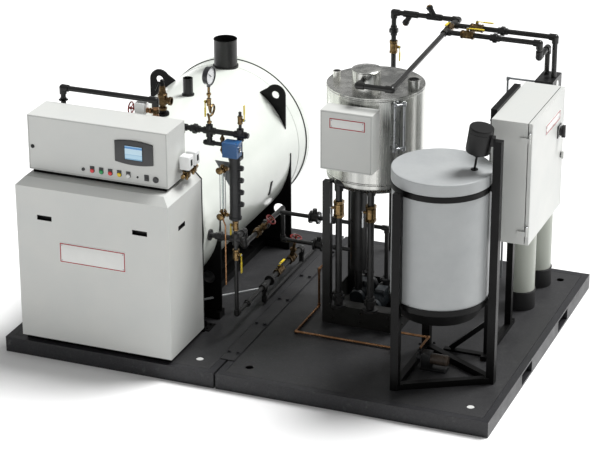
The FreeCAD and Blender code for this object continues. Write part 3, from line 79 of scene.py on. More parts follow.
def grain(material, scale, detail=4.0, stretch=(1, 1, 1), roughness=0.6):
    """A noise in real metres, stretched along an axis where the surface is drawn or brushed."""
    place = add_node(material, "TexCoord")
    mapping = add_node(material, "Mapping", {"Vector": place.outputs["Object"], "Scale": stretch})
    noise = add_node(material, "TexNoise", {"Vector": mapping.outputs["Vector"], "Scale": scale,
                                            "Detail": detail, "Roughness": roughness})
    return noise.outputs["Fac"]


def ramp(material, value, low, high, colour_low, colour_high):
    """Maps a value from colour_low at low to colour_high at high."""
    node = add_node(material, "ValToRGB", {"Fac": value})
    node.color_ramp.elements[0].position = low
    node.color_ramp.elements[1].position = high
    node.color_ramp.elements[0].color = colour_low
    node.color_ramp.elements[1].color = colour_high
    return node.outputs["Color"]


def span(material, value, low, high, out_low, out_high):
    """Maps a value between low and high to a number between out_low and out_high."""
    node = add_node(material, "MapRange", {"Value": value, "From Min": low, "From Max": high,
                                           "To Min": out_low, "To Max": out_high})
    return node.outputs["Result"]


def relief(material, shader, height, strength, distance):
    bump = add_node(material, "Bump", {"Height": height, "Strength": strength, "Distance": distance})
    material.node_tree.links.new(bump.outputs["Normal"], shader.inputs["Normal"])


def enamel(name, colour, shade, gloss, peel=0.25, soil=0.0, sheen=0.5):
    """Sprayed paint: a tone that wanders a little, soft orange peel and duller handled patches."""
    material, shader = new_finish(name)
    shader.inputs["Specular IOR Level"].default_value = sheen
    broad = grain(material, 3.5, 5)
    fine = grain(material, 160, 3)
    tone = ramp(material, broad, 0.35, 0.7, linear(shade), linear(colour))
    dust = add_node(material, "Mix", {"Factor": span(material, fine, 0.55, 0.8, 0.0, soil), "A": tone,
                                      "B": linear("#8C8A84")}, data_type="RGBA")
    links = material.node_tree.links
    links.new([s for s in dust.outputs if s.type == "RGBA"][0], shader.inputs["Base Color"])
    links.new(span(material, broad, 0.3, 0.75, gloss + 0.07, gloss - 0.05), shader.inputs["Roughness"])
    relief(material, shader, grain(material, 420, 2), peel, 0.0004)
    return material


def deck_paint(name, colour, shade, gloss):
    """Charcoal paint over mill scale: granular, with paler scuffs and dust in the grain."""
    material, shader = new_finish(name)
    speckle = grain(material, 120, 8, roughness=0.85)
    patches = grain(material, 5, 5)
    scuffs = grain(material, 26, 5, stretch=(1, 4, 1))
    base = ramp(material, speckle, 0.34, 0.66, linear(shade), linear(colour))
    worn = ramp(material, scuffs, 0.58, 0.78, (0.0, 0.0, 0.0, 1), (0.07, 0.07, 0.066, 1))
    both = add_node(material, "Mix", {"A": base, "B": worn}, data_type="RGBA", blend_type="ADD")
    material.node_tree.links.new(span(material, patches, 0.35, 0.65, 0.15, 0.8), both.inputs["Factor"])
    links = material.node_tree.links
    links.new([s for s in both.outputs if s.type == "RGBA"][0], shader.inputs["Base Color"])
    links.new(span(material, patches, 0.3, 0.7, gloss, gloss + 0.16), shader.inputs["Roughness"])
    shader.inputs["Specular IOR Level"].default_value = 0.35
    relief(material, shader, speckle, 0.5, 0.0008)
    return material


def paint(material, *nodes):
    """Gives CAD nodes a finish."""
    for node in nodes:
        for material_slot in frame["nodes"][node].material_slots:
            material_slot.material = material


def turned_to(centre, axis):
    """The transform that carries +Z at the origin to an axis through a point."""
    return Matrix.Translation(centre) @ Vector(axis).to_track_quat("Z", "Y").to_matrix().to_4x4()


def bar(mesh, start, end, radius, sides=24, radius_end=None):
    """A round bar between two points, tapered where its end has another radius."""
    start = Vector(start)
    end = Vector(end)
    made = bmesh.ops.create_cone(mesh, cap_ends=True, segments=sides, radius1=radius,
                                 radius2=radius if radius_end is None else radius_end,
                                 depth=(end - start).length,
                                 matrix=turned_to((start + end) / 2, end - start))
    return made["verts"]


def block(mesh, low, high, edge=0.0, segments=2):
    """A box between two corners, with rounded edges where edge is more than nothing."""
    low = Vector(low)
    high = Vector(high)
    size = high - low
    place = Matrix.Translation((low + high) / 2) @ Matrix.Diagonal((size.x, size.y, size.z, 1))
    made = bmesh.ops.create_cube(mesh, size=1, matrix=place)["verts"]
    if edge:
        edges = list({e for v in made for e in v.link_edges})
        bmesh.ops.bevel(mesh, geom=edges, offset=edge, segments=segments, profile=0.5, affect="EDGES",
                        material=-1, clamp_overlap=True)
    return made


def lathe(mesh, centre, axis, profile, steps=40):
    """Spins a profile of (radius, height) pairs about an axis through centre."""
    place = turned_to(centre, axis)
    points = [mesh.verts.new(place @ Vector((radius, 0, height))) for radius, height in profile]
    edges = [mesh.edges.new(pair) for pair in zip(points, points[1:])]
    bmesh.ops.spin(mesh, geom=points + edges, cent=Vector(centre), axis=Vector(axis).normalized(),
                   angle=math.tau, steps=steps, use_merge=True)
    bmesh.ops.remove_doubles(mesh, verts=mesh.verts, dist=0.00001)
    bmesh.ops.recalc_face_normals(mesh, faces=mesh.faces)


def ring(mesh, centre, axis, profile, steps=40):
    """Spins a closed profile, as lathe does an open one."""
    lathe(mesh, centre, axis, list(profile) + list(profile[:1]), steps)


def hexagon(mesh, centre, axis, across, height, edge=0.0008):
    """A six-sided head or nut, chamfered, standing on centre."""
    axis = Vector(axis).normalized()
    verts = bar(mesh, centre, Vector(centre) + axis * height, across / math.sqrt(3), sides=6)
    edges = list({e for v in verts for e in v.link_edges})
    bmesh.ops.bevel(mesh, geom=edges, offset=edge, segments=1, profile=0.5, affect="EDGES", material=-1,
                    clamp_overlap=True)


def bolt(mesh, centre, axis, across):
    """A washer, a bolt head on it and the rounded end of the thread."""
    axis = Vector(axis).normalized()
    centre = Vector(centre)
    bar(mesh, centre, centre + axis * across * 0.12, across * 0.85, sides=20)
    hexagon(mesh, centre + axis * across * 0.12, axis, across, across * 0.55)


def flange_bolts(mesh, centre, axis, reach, across):
    """Four bolts on a face that looks up, or along X."""
    for turn in range(4):
        angle = math.radians(45 + 90 * turn)
        spread = (math.cos(angle) * reach, math.sin(angle) * reach)
        bolt(mesh, Vector(centre) + Vector((0, *spread) if axis[0] else (*spread, 0)), axis, across)


def finish_piece(name, mesh, material, body="plant", smooth=35):
    """Turns a bmesh into a piece of the object: smooth but for its sharp edges, and riding on its body."""
    data = bpy.data.meshes.new(name)
    mesh.to_mesh(data)
    mesh.free()
    data.materials.append(material)
    data.polygons.foreach_set("use_smooth", [True] * len(data.polygons))
    data.set_sharp_from_angle(angle=math.radians(smooth))
    piece = bpy.data.objects.new(name, data)
    bpy.context.scene.collection.objects.link(piece)
    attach(piece, body)
    return piece


charcoal = deck_paint("charcoal_deck", "#3C3C3D", "#1D1D1F", 0.36)
# The frames take a darker copy of the deck's charcoal: painted shade for their faces, which turn away from
# the light.
shaded_charcoal_rim = deck_paint("shaded_charcoal_rim", "#37373A", "#19191B", 0.30)
paint(charcoal, "deck_plates", "skid_joint_plate")
paint(shaded_charcoal_rim, "left_skid_frame", "right_skid_frame")

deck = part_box("deck_plates")[1].z
strip_low, strip_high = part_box("skid_joint_plate")
mesh = bmesh.new()
for along in (0.055, 0.29, 0.5, 0.71, 0.945):
    for x in (strip_low.x + 0.018, strip_high.x - 0.018):
        y = strip_low.y + (strip_high.y - strip_low.y) * along
        bolt(mesh, (x, y, strip_high.z), (0, 0, 1), 0.019)
finish_piece("joint_strip_bolts", mesh, shaded_charcoal_rim)

# A pale disc sits in the round lifting hole at the front right of each deck, just below the plate; the others
# are open.
# Its colour is painted light: it stands for the bright floor seen through the hole. Each disc has a rounded
# rim.
hole_light_inset = 0.160
hole_light_radius = 0.0235
hole_light_white = enamel("painted_hole_light", "#D9DAD8", "#C9CAC8", 0.45)
mesh = bmesh.new()
for side in ("left_skid_frame", "right_skid_frame"):
    frame_low, frame_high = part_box(side)
    lathe(mesh, (frame_high.x - hole_light_inset, frame_low.y + hole_light_inset, deck - 0.008), (0, 0, 1),
          ((0.0001, 0.0), (hole_light_radius, 0.0), (hole_light_radius, 0.004), (hole_light_radius - 0.003, 0.006),
           (0.0001, 0.0055)), 28)
finish_piece("deck_hole_painted_light", mesh, hole_light_white)

# The boiler stands in two cradle plates on a pair of rails, with a lifting lug at each side of the rear one.
# They are plate steel, flame cut, welded and painted satin black, with weld beads where they meet.
black = enamel("satin_black", "#0F0F0F", "#080808", 0.34, peel=0.3, soil=0.02, sheen=0.15)
paint(black, "boiler_support", "cabinet_frame")
shell_low, shell_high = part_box("boiler_shell")
axis_x = (shell_low.x + shell_high.x) / 2
axis_z = (shell_low.z + shell_high.z) / 2
shell_radius = (shell_high.x - shell_low.x) / 2
cradle_half = 0.006
rail_reach = 0.32
rear_cradle = shell_high.y - 0.290
front_cradle = shell_low.y + 0.234
mesh = bmesh.new()
for y in (front_cradle, rear_cradle):
    for side in (-1, 1):
        x = axis_x + side * rail_reach
        for edge in (-1, 1):
            bar(mesh, (x - 0.036, y + edge * cradle_half, deck + 0.0495),
                (x + 0.036, y + edge * cradle_half, deck + 0.0495),
                0.004, sides=10)
finish_piece("cradle_welds", mesh, black)
mesh = bmesh.new()
for y in (shell_low.y + 0.06, front_cradle + 0.2, rear_cradle - 0.2, shell_high.y - 0.06):
    for side in (-1, 1):
        bolt(mesh, (axis_x + side * rail_reach, y, deck + 0.0484), (0, 0, 1), 0.024)
finish_piece("rail_bolts", mesh, black)

# The shell is rolled sheet over insulation, and the rear head is a shallow spun cap that laps over its end.
# Both are sprayed gloss off-white. A dark bead fills the joint, bands clamp the sheet, and a slot drains it.
white_enamel = enamel("boiler_enamel", "#E4E8E1", "#DEE3DC", 0.17, peel=0.06, soil=0.01)
paint(white_enamel, "boiler_shell", "rear_head")
sealant = enamel("sealing_bead", "#2A2C2B", "#1B1C1C", 0.6)
mesh = bmesh.new()
bead_profile = [(shell_radius - 0.002, -0.005), (shell_radius + 0.0045, -0.004), (shell_radius + 0.0055, 0.0),
                (shell_radius + 0.0045, 0.002), (shell_radius - 0.002, 0.003)]
ring(mesh, (axis_x, shell_high.y, axis_z), (0, 1, 0), bead_profile, 128)
finish_piece("head_sealing_bead", mesh, sealant, smooth=60)
mesh = bmesh.new()
band_profile = [(shell_radius - 0.001, -0.016), (shell_radius + 0.0018, -0.015),
                (shell_radius + 0.0022, 0.015), (shell_radius - 0.001, 0.016)]
for y in (shell_low.y + 0.024, shell_high.y - 0.12):
    ring(mesh, (axis_x, y, axis_z), (0, 1, 0), band_profile, 128)
finish_piece("cladding_bands", mesh, white_enamel, smooth=60)
mesh = bmesh.new()
slot_angle = math.radians(-12)
outward = Vector((math.cos(slot_angle), 0, math.sin(slot_angle)))
slot_middle = Vector((axis_x, shell_high.y - 0.62, axis_z)) + outward * shell_radius
block(mesh, (-0.014, -0.05, -0.003), (0.014, 0.05, 0.004), edge=0.0015)
bmesh.ops.transform(mesh, verts=mesh.verts, matrix=turned_to(slot_middle, outward))
finish_piece("cladding_drain_slot", mesh, black)

# A foot bracket of black plate stands on the deck beside the right rail's front end, held by two bolts.
# A conduit painted pale grey runs low beside the shell.
mesh = bmesh.new()
foot_x = axis_x + 0.395
foot_y = shell_low.y + 0.060
block(mesh, (foot_x, foot_y - 0.055, deck), (foot_x + 0.150, foot_y + 0.055, deck + 0.008), 0.001)
block(mesh, (foot_x, foot_y - 0.006, deck + 0.006), (foot_x + 0.110, foot_y + 0.006, deck + 0.046), 0.001)
bolt(mesh, (foot_x + 0.125, foot_y - 0.030, deck + 0.008), (0, 0, 1), 0.013)
bolt(mesh, (foot_x + 0.125, foot_y + 0.030, deck + 0.008), (0, 0, 1), 0.013)
finish_piece("rail_bracket", mesh, black)
conduit_grey = enamel("conduit", "#A4A7A8", "#8E9192", 0.32, peel=0.1)
mesh = bmesh.new()
bends = (Vector((axis_x + 0.430, shell_low.y + 0.18, 0.232)),
         Vector((axis_x + 0.520, shell_low.y + 0.28, 0.232)),
         Vector((axis_x + 0.690, shell_low.y + 0.475, 0.225)))
for start, end in zip(bends, bends[1:]):
    bar(mesh, start, end, 0.0075, sides=18)
bmesh.ops.create_uvsphere(mesh, u_segments=18, v_segments=10, radius=0.0076,
                          matrix=Matrix.Translation(bends[1]))
finish_piece("drain_conduit", mesh, conduit_grey, smooth=60)

# Open stubs on the shell's top take the flue and the steam main: black pipe, each in a welded collar.
# The flue's rim has a rolled bead.
iron = enamel("black_iron", "#2A2A2A", "#131313", 0.3, peel=0.5, soil=0.08, sheen=0.4)
paint(iron, "stack_and_steam_outlet")
stub_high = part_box("stack_and_steam_outlet")[1]
flue_y = stub_high.y - 0.0875
flue_radius = 0.0795
mesh = bmesh.new()
rim = [(flue_radius - 0.0035, -0.006), (flue_radius + 0.0012, -0.006), (flue_radius + 0.002, -0.003),
       (flue_radius + 0.0012, 0.0), (flue_radius - 0.0035, 0.0)]
ring(mesh, (axis_x, flue_y, stub_high.z), (0, 0, 1), rim, 64)
finish_piece("flue_rim", mesh, iron, smooth=60)

# The safety valve is a cast bronze angle body on a black threaded flange, with a spring bonnet above it.
# A black cap and test lever sit on the spindle. The outlet points to the right.


def metal(name, colour, shade, gloss, scale, stretch=(1, 1, 1), bump=0.1, depth=0.0002, tarnish=None):
    """Bare metal whose tone and gloss follow its grain, with a duller tarnish in patches."""
    material, shader = new_finish(name)
    lines = grain(material, scale, 5, stretch=stretch)
    broad = grain(material, 14, 4)
    tone = ramp(material, lines, 0.3, 0.72, linear(shade), linear(colour))
    links = material.node_tree.links
    if tarnish:
        patch = add_node(material, "Mix", {"Factor": span(material, broad, 0.5, 0.72, 0.0, 0.7), "A": tone,
                                           "B": linear(tarnish)}, data_type="RGBA")
        tone = [s for s in patch.outputs if s.type == "RGBA"][0]
    links.new(tone, shader.inputs["Base Color"])
    shader.inputs["Metallic"].default_value = 1.0
    links.new(span(material, broad, 0.3, 0.7, gloss - 0.06, gloss + 0.12), shader.inputs["Roughness"])
    relief(material, shader, lines, bump, depth)
    return material


bronze = metal("cast_bronze", "#7D6748", "#46382A", 0.34, 130, bump=0.5, depth=0.0005, tarnish="#33291D")
relief_low, relief_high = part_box("safety_valve")
relief_y = (relief_low.y + relief_high.y) / 2
relief_z = relief_low.z + 0.100
relief_top = relief_high.z
mesh = bmesh.new()
lathe(mesh, (axis_x, relief_y, relief_low.z + 0.001), (0, 0, 1),
      ((0.0001, 0.0), (0.042, 0.0), (0.042, 0.014), (0.039, 0.018), (0.026, 0.022), (0.024, 0.034),
       (0.0001, 0.034)), 40)
flange_bolts(mesh, (axis_x, relief_y, relief_low.z + 0.0155), (0, 0, 1), 0.033, 0.010)
finish_piece("safety_valve_flange", mesh, black)
mesh = bmesh.new()
hexagon(mesh, (axis_x, relief_y, relief_low.z + 0.034), (0, 0, 1), 0.050, 0.018)
lathe(mesh, (axis_x, relief_y, relief_z), (0, 0, 1),
      ((0.0001, -0.052), (0.018, -0.050), (0.020, -0.036), (0.030, -0.026), (0.034, -0.008), (0.034, 0.018),
       (0.030, 0.030), (0.032, 0.034), (0.032, 0.042), (0.026, 0.046), (0.021, 0.074), (0.021, 0.082),
       (0.016, 0.100), (0.0001, 0.102)), 40)
lathe(mesh, (axis_x, relief_y, relief_z), (1, 0, 0),
      ((0.0001, 0.0), (0.022, 0.010), (0.022, 0.044), (0.028, 0.048), (0.028, 0.063), (0.021, 0.0635),
       (0.020, 0.050), (0.0001, 0.049)), 36)
relief_body = finish_piece("safety_valve_body", mesh, bronze, smooth=50)
mesh = bmesh.new()
lathe(mesh, (axis_x, relief_y, relief_top), (0, 0, 1),
      ((0.0001, -0.042), (0.015, -0.042), (0.016, -0.026), (0.012, -0.020), (0.014, -0.014), (0.014, -0.004),
       (0.009, 0.0), (0.0001, 0.0)), 32)
bar(mesh, (axis_x, relief_y - 0.008, relief_top - 0.017),
    (axis_x - 0.012, relief_y - 0.008, relief_top - 0.022), 0.005)
block(mesh, (axis_x - 0.034, relief_y - 0.0065, relief_top - 0.026),
      (axis_x + 0.010, relief_y + 0.0065, relief_top - 0.018), 0.002)
block(mesh, (-0.005, -0.0055, -0.070), (0.003, 0.0055, 0.0), 0.0015)
bmesh.ops.recalc_face_normals(mesh, faces=mesh.faces)
tail = [v for v in mesh.verts if abs(v.co.x) < 0.02 and abs(v.co.y) < 0.02 and v.co.z < 0.01]
bmesh.ops.rotate(mesh, verts=tail, cent=(0, 0, 0), matrix=Matrix.Rotation(math.radians(24), 3, "Y"))
bmesh.ops.translate(mesh, verts=tail, vec=(axis_x - 0.024, relief_y, relief_top - 0.018))
finish_piece("safety_valve_lever", mesh, black)
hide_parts("safety_valve")

# The burner's cover is one folded sheet-steel box, powder coated light grey, that lifts off by four hand
# slots. Black moulded cups line the slots, and a blank red-bordered plate is screwed to the front.
powder = enamel("powder_coat", "#CFD0CC", "#CBCDCA", 0.36, peel=0.45, soil=0.01)
paint(powder, "burner_cabinet")
cabinet_low, cabinet_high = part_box("burner_cabinet")
slot_z = 0.955
slot_half_width = 0.0492
slot_half_height = 0.0152
slot_depth = 0.0285
slot_black = enamel("slot_cup", "#111112", "#0A0A0B", 0.6)


def prism(mesh, points, push):
    """A flat outline pushed out into a solid."""
    face = mesh.faces.new([mesh.verts.new(point) for point in points])
    grown = bmesh.ops.extrude_face_region(mesh, geom=[face])["geom"]
    bmesh.ops.translate(mesh, verts=[g for g in grown if isinstance(g, bmesh.types.BMVert)], vec=push)
    bmesh.ops.recalc_face_normals(mesh, faces=mesh.faces)


def cup(mesh, middle, facing):
    """A thin five-sided pocket, open towards facing."""
    made = bmesh.ops.create_cube(mesh, size=1,
                                 matrix=Matrix.Diagonal((slot_half_width * 2, slot_depth,
                                                         slot_half_height * 2, 1)))
    verts = made["verts"]
    front = [f for f in {f for v in verts for f in v.link_faces} if f.normal.y < -0.5]
    bmesh.ops.delete(mesh, geom=front, context="FACES_ONLY")
    faces = list({f for v in verts for f in v.link_faces})
    bmesh.ops.reverse_faces(mesh, faces=faces)
    bmesh.ops.translate(mesh, verts=verts, vec=(0, slot_depth / 2, 0))
    turn = Vector((0, -1, 0)).rotation_difference(Vector(facing)).to_matrix().to_4x4()
    bmesh.ops.transform(mesh, verts=verts, matrix=Matrix.Translation(middle) @ turn)


mesh = bmesh.new()
for side in (-1, 1):
    cup(mesh, (axis_x + side * 0.324, cabinet_low.y + 0.0008, slot_z), (0, -1, 0))
cup(mesh, (cabinet_low.x + 0.0008, cabinet_low.y + 0.196, slot_z), (-1, 0, 0))
cup(mesh, (cabinet_high.x - 0.0008, cabinet_low.y + 0.196, slot_z), (1, 0, 0))
finish_piece("hand_slot_cups", mesh, slot_black)

plate_face = enamel("plate_face", "#E4E5E2", "#DADBD8", 0.25, peel=0.05)
plate_red = enamel("plate_red", "#A3121D", "#8F0F19", 0.3, peel=0.05)
steel = metal("bright_steel", "#BFC1C3", "#94979A", 0.26, 160, bump=0.08)


def border(mesh, low, high, width, butted=False, edge=0.0):
    """Four strips inside a box's outline: the uprights, then the level ones, which stop short if butted."""
    low = Vector(low)
    high = Vector(high)
    along = 0 if high.x - low.x > high.y - low.y else 1
    for line in (along, 2):
        for end in (0, 1):
            strip = [low.copy(), high.copy()]
            strip[1 - end][line] = (low, high)[end][line] + (width if end == 0 else -width)
            if butted and line == 2:
                strip[0][along] += width
                strip[1][along] -= width
            block(mesh, strip[0], strip[1], edge)


def blank_plate(name, centre, facing, width, height, body="plant"):
    """A thin blank name plate with a printed red border and a screw in each corner."""
    across = Vector((0, 0, 1)).cross(Vector(facing)) * -1
    place = Matrix((( -across.x, -facing[0], 0, centre[0]), (-across.y, -facing[1], 0, centre[1]),
                    (0, 0, 1, centre[2]), (0, 0, 0, 1)))
    half = Vector((width / 2, 0, height / 2))
    line = 0.0065
    inset = 0.0035
    thick = 0.0016
    mesh = bmesh.new()
    block(mesh, (-half.x, -thick, -half.z), (half.x, 0.0, half.z), 0.0006)
    bmesh.ops.transform(mesh, verts=mesh.verts, matrix=place)
    finish_piece(name + "_face", mesh, plate_face, body)
    mesh = bmesh.new()
    border(mesh, (-half.x + inset, -thick - 0.0003, -half.z + inset),
           (half.x - inset, -thick / 2, half.z - inset),
           line, butted=True)
    bmesh.ops.transform(mesh, verts=mesh.verts, matrix=place)
    finish_piece(name + "_border", mesh, plate_red, body)
    mesh = bmesh.new()
    for x in (-1, 1):
        for z in (-1, 1):
            spot = Vector((x * (half.x - 0.017), -thick, z * (half.z - 0.017)))
            lathe(mesh, spot, (0, -1, 0),
                  ((0.0001, 0.0), (0.0042, 0.0), (0.0040, 0.0012), (0.0022, 0.0022), (0.0001, 0.0024)), 16)
    bmesh.ops.transform(mesh, verts=mesh.verts, matrix=place)
    finish_piece(name + "_screws", mesh, steel, body)


blank_plate("cabinet_plate", (axis_x - 0.0025, cabinet_low.y, cabinet_low.z + 0.613), (0, -1, 0), 0.451,
            0.134)

# The control box is a folded housing above the cover. Its front carries an arched bezel round a touch
# display, a lock, and a row of lamps and push buttons in black plastic, a rocker and a round alarm.
paint(powder, "control_box")
box_low, box_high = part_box("control_box")
panel_y = box_low.y
row_z = box_low.z + 0.049
first_x = box_low.x + 0.373
pitch = 0.061
bezel_middle = Vector((box_low.x + 0.7205, panel_y, box_low.z + 0.2045))
bezel_half = 0.1275
bezel_rise = 0.0795
bezel_arch = 0.014
bezel_grey = enamel("bezel_plastic", "#3A3B3C", "#2E2F30", 0.42, peel=0.5)
screen_half = Vector((0.058, 0, 0.044))
mesh = bmesh.new()
steps = 12
outline = []
for side in (1, -1):
    for step in range(steps + 1):
        t = side * (-1 + 2 * step / steps)
        outline.append(bezel_middle + Vector((t * bezel_half, 0, side * (bezel_rise - bezel_arch * t * t))))
prism(mesh, outline, (0, -0.009, 0))
front_face = max((f for f in mesh.faces if abs(f.normal.y) > 0.9), key=lambda f: -f.calc_center_median().y)
bmesh.ops.bevel(mesh, geom=list(front_face.edges), offset=0.003, segments=3, profile=0.5, affect="EDGES",
                material=-1)
bezel = finish_piece("display_bezel", mesh, bezel_grey)
rim = 0.003
mesh = bmesh.new()
border(mesh, bezel_middle + Vector((-screen_half.x - rim, -0.0115, -screen_half.z - rim)),
       bezel_middle + Vector((screen_half.x + rim, -0.008, screen_half.z + rim)), rim, butted=True)
finish_piece("display_frame", mesh, slot_black)

display, display_shader = new_finish("display")
place = add_node(display, "TexCoord")
apart = add_node(display, "SeparateXYZ", {"Vector": place.outputs["Object"]})
up = span(display, apart.outputs["Z"], bezel_middle.z - screen_half.z, bezel_middle.z + screen_half.z, 0.0,
          1.0)
layout = add_node(display, "ValToRGB", {"Fac": up})
layout.color_ramp.interpolation = "CONSTANT"
bands = ((0.0, "#6E98B4"), (0.10, "#A9C6D6"), (0.34, "#8FB4CA"), (0.40, "#BBD2DD"), (0.80, "#2F73B6"),
         (0.94, "#9EC1DA"))
for index, (position, colour) in enumerate(bands):
    element = layout.color_ramp.elements[index] if index < 2 else layout.color_ramp.elements.new(position)
    element.position = position
    element.color = linear(colour)
tiles = add_node(display, "TexBrick",
                 {"Vector": place.outputs["Object"], "Scale": 34.0, "Color1": linear("#C9D9DF"),
                                       "Color2": linear("#86A98C"), "Mortar": linear("#7EA3BA"),
                  "Mortar Size": 0.06})
picture = add_node(display, "Mix", {"Factor": 0.3, "A": layout.outputs["Color"], "B": tiles.outputs["Color"]},
                   data_type="RGBA")
picture_colour = [s for s in picture.outputs if s.type == "RGBA"][0]
display.node_tree.links.new(picture_colour, display_shader.inputs["Base Color"])
display.node_tree.links.new(picture_colour, display_shader.inputs["Emission Color"])
display_shader.inputs["Emission Strength"].default_value = 0.35
display_shader.inputs["Roughness"].default_value = 0.12
mesh = bmesh.new()
block(mesh, bezel_middle + Vector((-screen_half.x, -0.0105, -screen_half.z)),
      bezel_middle + Vector((screen_half.x, -0.008, screen_half.z)), 0.0004)
finish_piece("touch_display", mesh, display)

mesh = bmesh.new()
for index in (1, 2, 3, 4, 5):
    x = first_x + pitch * index
    block(mesh, (x - 0.0145, panel_y - 0.0045, row_z + 0.008), (x + 0.0145, panel_y, row_z + 0.028), 0.0015)
    lathe(mesh, (x, panel_y, row_z), (0, -1, 0),
          ((0.0001, 0), (0.0155, 0.0), (0.0155, 0.003), (0.0135, 0.0045), (0.0001, 0.0045)), 32)
for index, radius in ((0, 0.0105), (8, 0.0195)):
    x = first_x + pitch * index
    lathe(mesh, (x, panel_y, row_z), (0, -1, 0),
          ((0.0001, 0), (radius, 0.0), (radius, 0.005), (radius * 0.86, 0.009),
                                                  (radius * 0.4, 0.0095), (radius * 0.3, 0.0075),
           (0.0001, 0.0075)), 32)
x = first_x + pitch * 7
block(mesh, (x - 0.0155, panel_y - 0.004, row_z - 0.016), (x + 0.0155, panel_y, row_z + 0.024), 0.002)
block(mesh, (x - 0.010, panel_y - 0.010, row_z - 0.011), (x + 0.010, panel_y - 0.003, row_z + 0.006), 0.002)
finish_piece("panel_switches", mesh, bezel_grey)
mesh = bmesh.new()
x = first_x + pitch * 6
lathe(mesh, (x, panel_y, row_z), (0, -1, 0),
      ((0.0001, 0), (0.006, 0.0), (0.006, 0.003), (0.003, 0.005), (0.0001, 0.005)), 20)
lathe(mesh, (box_low.x + 0.030, panel_y, box_low.z + 0.152), (0, -1, 0),
      ((0.0001, 0), (0.0125, 0.0), (0.0125, 0.003), (0.0105, 0.0055), (0.0001, 0.0055)), 28)
block(mesh, (box_low.x + 0.0285, panel_y - 0.0065, box_low.z + 0.145),
      (box_low.x + 0.0315, panel_y - 0.005, box_low.z + 0.159))
finish_piece("panel_lock", mesh, slot_black)
caps = ((1, "#D9383C", "lamp_red"), (2, "#1E9A55", "lamp_green"), (3, "#D9383C", "stop_red"),
        (4, "#E6C820", "lamp_yellow"), (5, "#E9EAE8", "lamp_white"))
for index, colour, name in caps:
    lens = enamel(name, colour, colour, 0.18, peel=0.05)
    mesh = bmesh.new()
    lathe(mesh, (first_x + pitch * index, panel_y - 0.0042, row_z), (0, -1, 0),
          ((0.0001, 0), (0.0132, 0.0), (0.0132, 0.003), (0.0115, 0.0062), (0.006, 0.0080), (0.0001, 0.0084)),
          32)
    finish_piece(name, mesh, lens)
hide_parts("operator_panel")
mesh = bmesh.new()
inset = 0.006
border(mesh, (box_low.x + inset, panel_y - 0.0006, box_low.z + inset),
       (box_high.x - inset, panel_y + 0.0012, box_high.z - inset), 0.003)
finish_piece("front_panel_seam", mesh, enamel("seam_shadow", "#A9ABA8", "#9FA19E", 0.5))

# Two pilot-gas shut-off valves stand on a brass train at the control box's right side. Each has a white
# plastic coil housing with a black window; the train is forged brass blocks and hex nipples.
brass = metal("brass", "#9A815A", "#5E4A30", 0.25, 60, bump=0.15, tarnish="#4A3A26")
copper = metal("copper", "#B48A68", "#86603F", 0.28, 40, bump=0.1, tarnish="#6A4B34")
white_plastic = enamel("white_plastic", "#F2F3F2", "#E9EAE9", 0.32, peel=0.1)
run_x = box_high.x + 0.046
run_z = box_low.z + 0.042
valve_places = (box_low.y + 0.172, box_low.y + 0.266)
mesh = bmesh.new()
for y in valve_places:
    block(mesh, (box_high.x + 0.013, y - 0.033, run_z + 0.036),
          (box_high.x + 0.079, y + 0.033, run_z + 0.122), 0.004, 3)
    block(mesh, (box_high.x + 0.020, y - 0.026, run_z + 0.120),
          (box_high.x + 0.072, y + 0.026, run_z + 0.124), 0.0015)
finish_piece("gas_valve_housings", mesh, white_plastic)
mesh = bmesh.new()
for y in valve_places:
    block(mesh, (box_high.x + 0.0785, y - 0.010, run_z + 0.058),
          (box_high.x + 0.0805, y + 0.014, run_z + 0.098), 0.0008)
    lathe(mesh, (run_x, y, run_z + 0.020), (0, 0, 1),
          ((0.0001, 0), (0.018, 0.0), (0.018, 0.006), (0.014, 0.016), (0.0001, 0.016)), 24)
finish_piece("gas_valve_windows", mesh, slot_black)
mesh = bmesh.new()
bar(mesh, (run_x, box_low.y + 0.112, run_z), (run_x, box_low.y + 0.322, run_z), 0.0105)
for y, across, length in ((0.120, 0.026, 0.014), (0.142, 0.030, 0.012), (0.205, 0.027, 0.016),
                          (0.232, 0.030, 0.014), (0.298, 0.028, 0.014), (0.316, 0.024, 0.012)):
    hexagon(mesh, (run_x, box_low.y + y - length / 2, run_z), (0, 1, 0), across, length)
for y in valve_places:
    block(mesh, (run_x - 0.019, y - 0.021, run_z - 0.020), (run_x + 0.019, y + 0.021, run_z + 0.020), 0.003)
    bar(mesh, (run_x, y, run_z - 0.034), (run_x, y, run_z), 0.009)
    hexagon(mesh, (run_x, y, run_z - 0.036), (0, 0, 1), 0.016, 0.010)
bar(mesh, (box_high.x, box_low.y + 0.218, run_z), (run_x, box_low.y + 0.218, run_z), 0.0095)
hexagon(mesh, (box_high.x + 0.004, box_low.y + 0.218, run_z), (1, 0, 0), 0.026, 0.012)
train = finish_piece("gas_train", mesh, brass)
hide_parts("gas_valves")

# Above the box a loop of black threaded pipe brings in the gas vent and drops to a copper tee. The tee's
# branch carries a white actuator housing and the red handwheel of the vent cock.
paint(iron, "vent_pipe")
wheel_low, wheel_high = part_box("gas_handwheel")
vent = Vector((axis_x + 0.251, (wheel_low.y + wheel_high.y) / 2, (wheel_low.z + wheel_high.z) / 2))
mesh = bmesh.new()
block(mesh, vent + Vector((-0.128, -0.034, -0.024)), vent + Vector((-0.060, 0.034, 0.050)), 0.004, 3)
finish_piece("vent_housing", mesh, white_plastic)
mesh = bmesh.new()
lathe(mesh, vent + Vector((0, 0, -0.047)), (0, 0, 1),
      ((0.0001, 0), (0.021, 0.0), (0.022, 0.004), (0.022, 0.018), (0.019, 0.021), (0.019, 0.072),
       (0.022, 0.076), (0.022, 0.092), (0.021, 0.095), (0.0001, 0.095)), 32)
for reach, across, length in ((0.026, 0.034, 0.012), (0.048, 0.030, 0.012), (0.129, 0.028, 0.010)):
    hexagon(mesh, vent + Vector((-reach, 0, 0)), (-1, 0, 0), across, length)
finish_piece("vent_tee", mesh, copper)
mesh = bmesh.new()
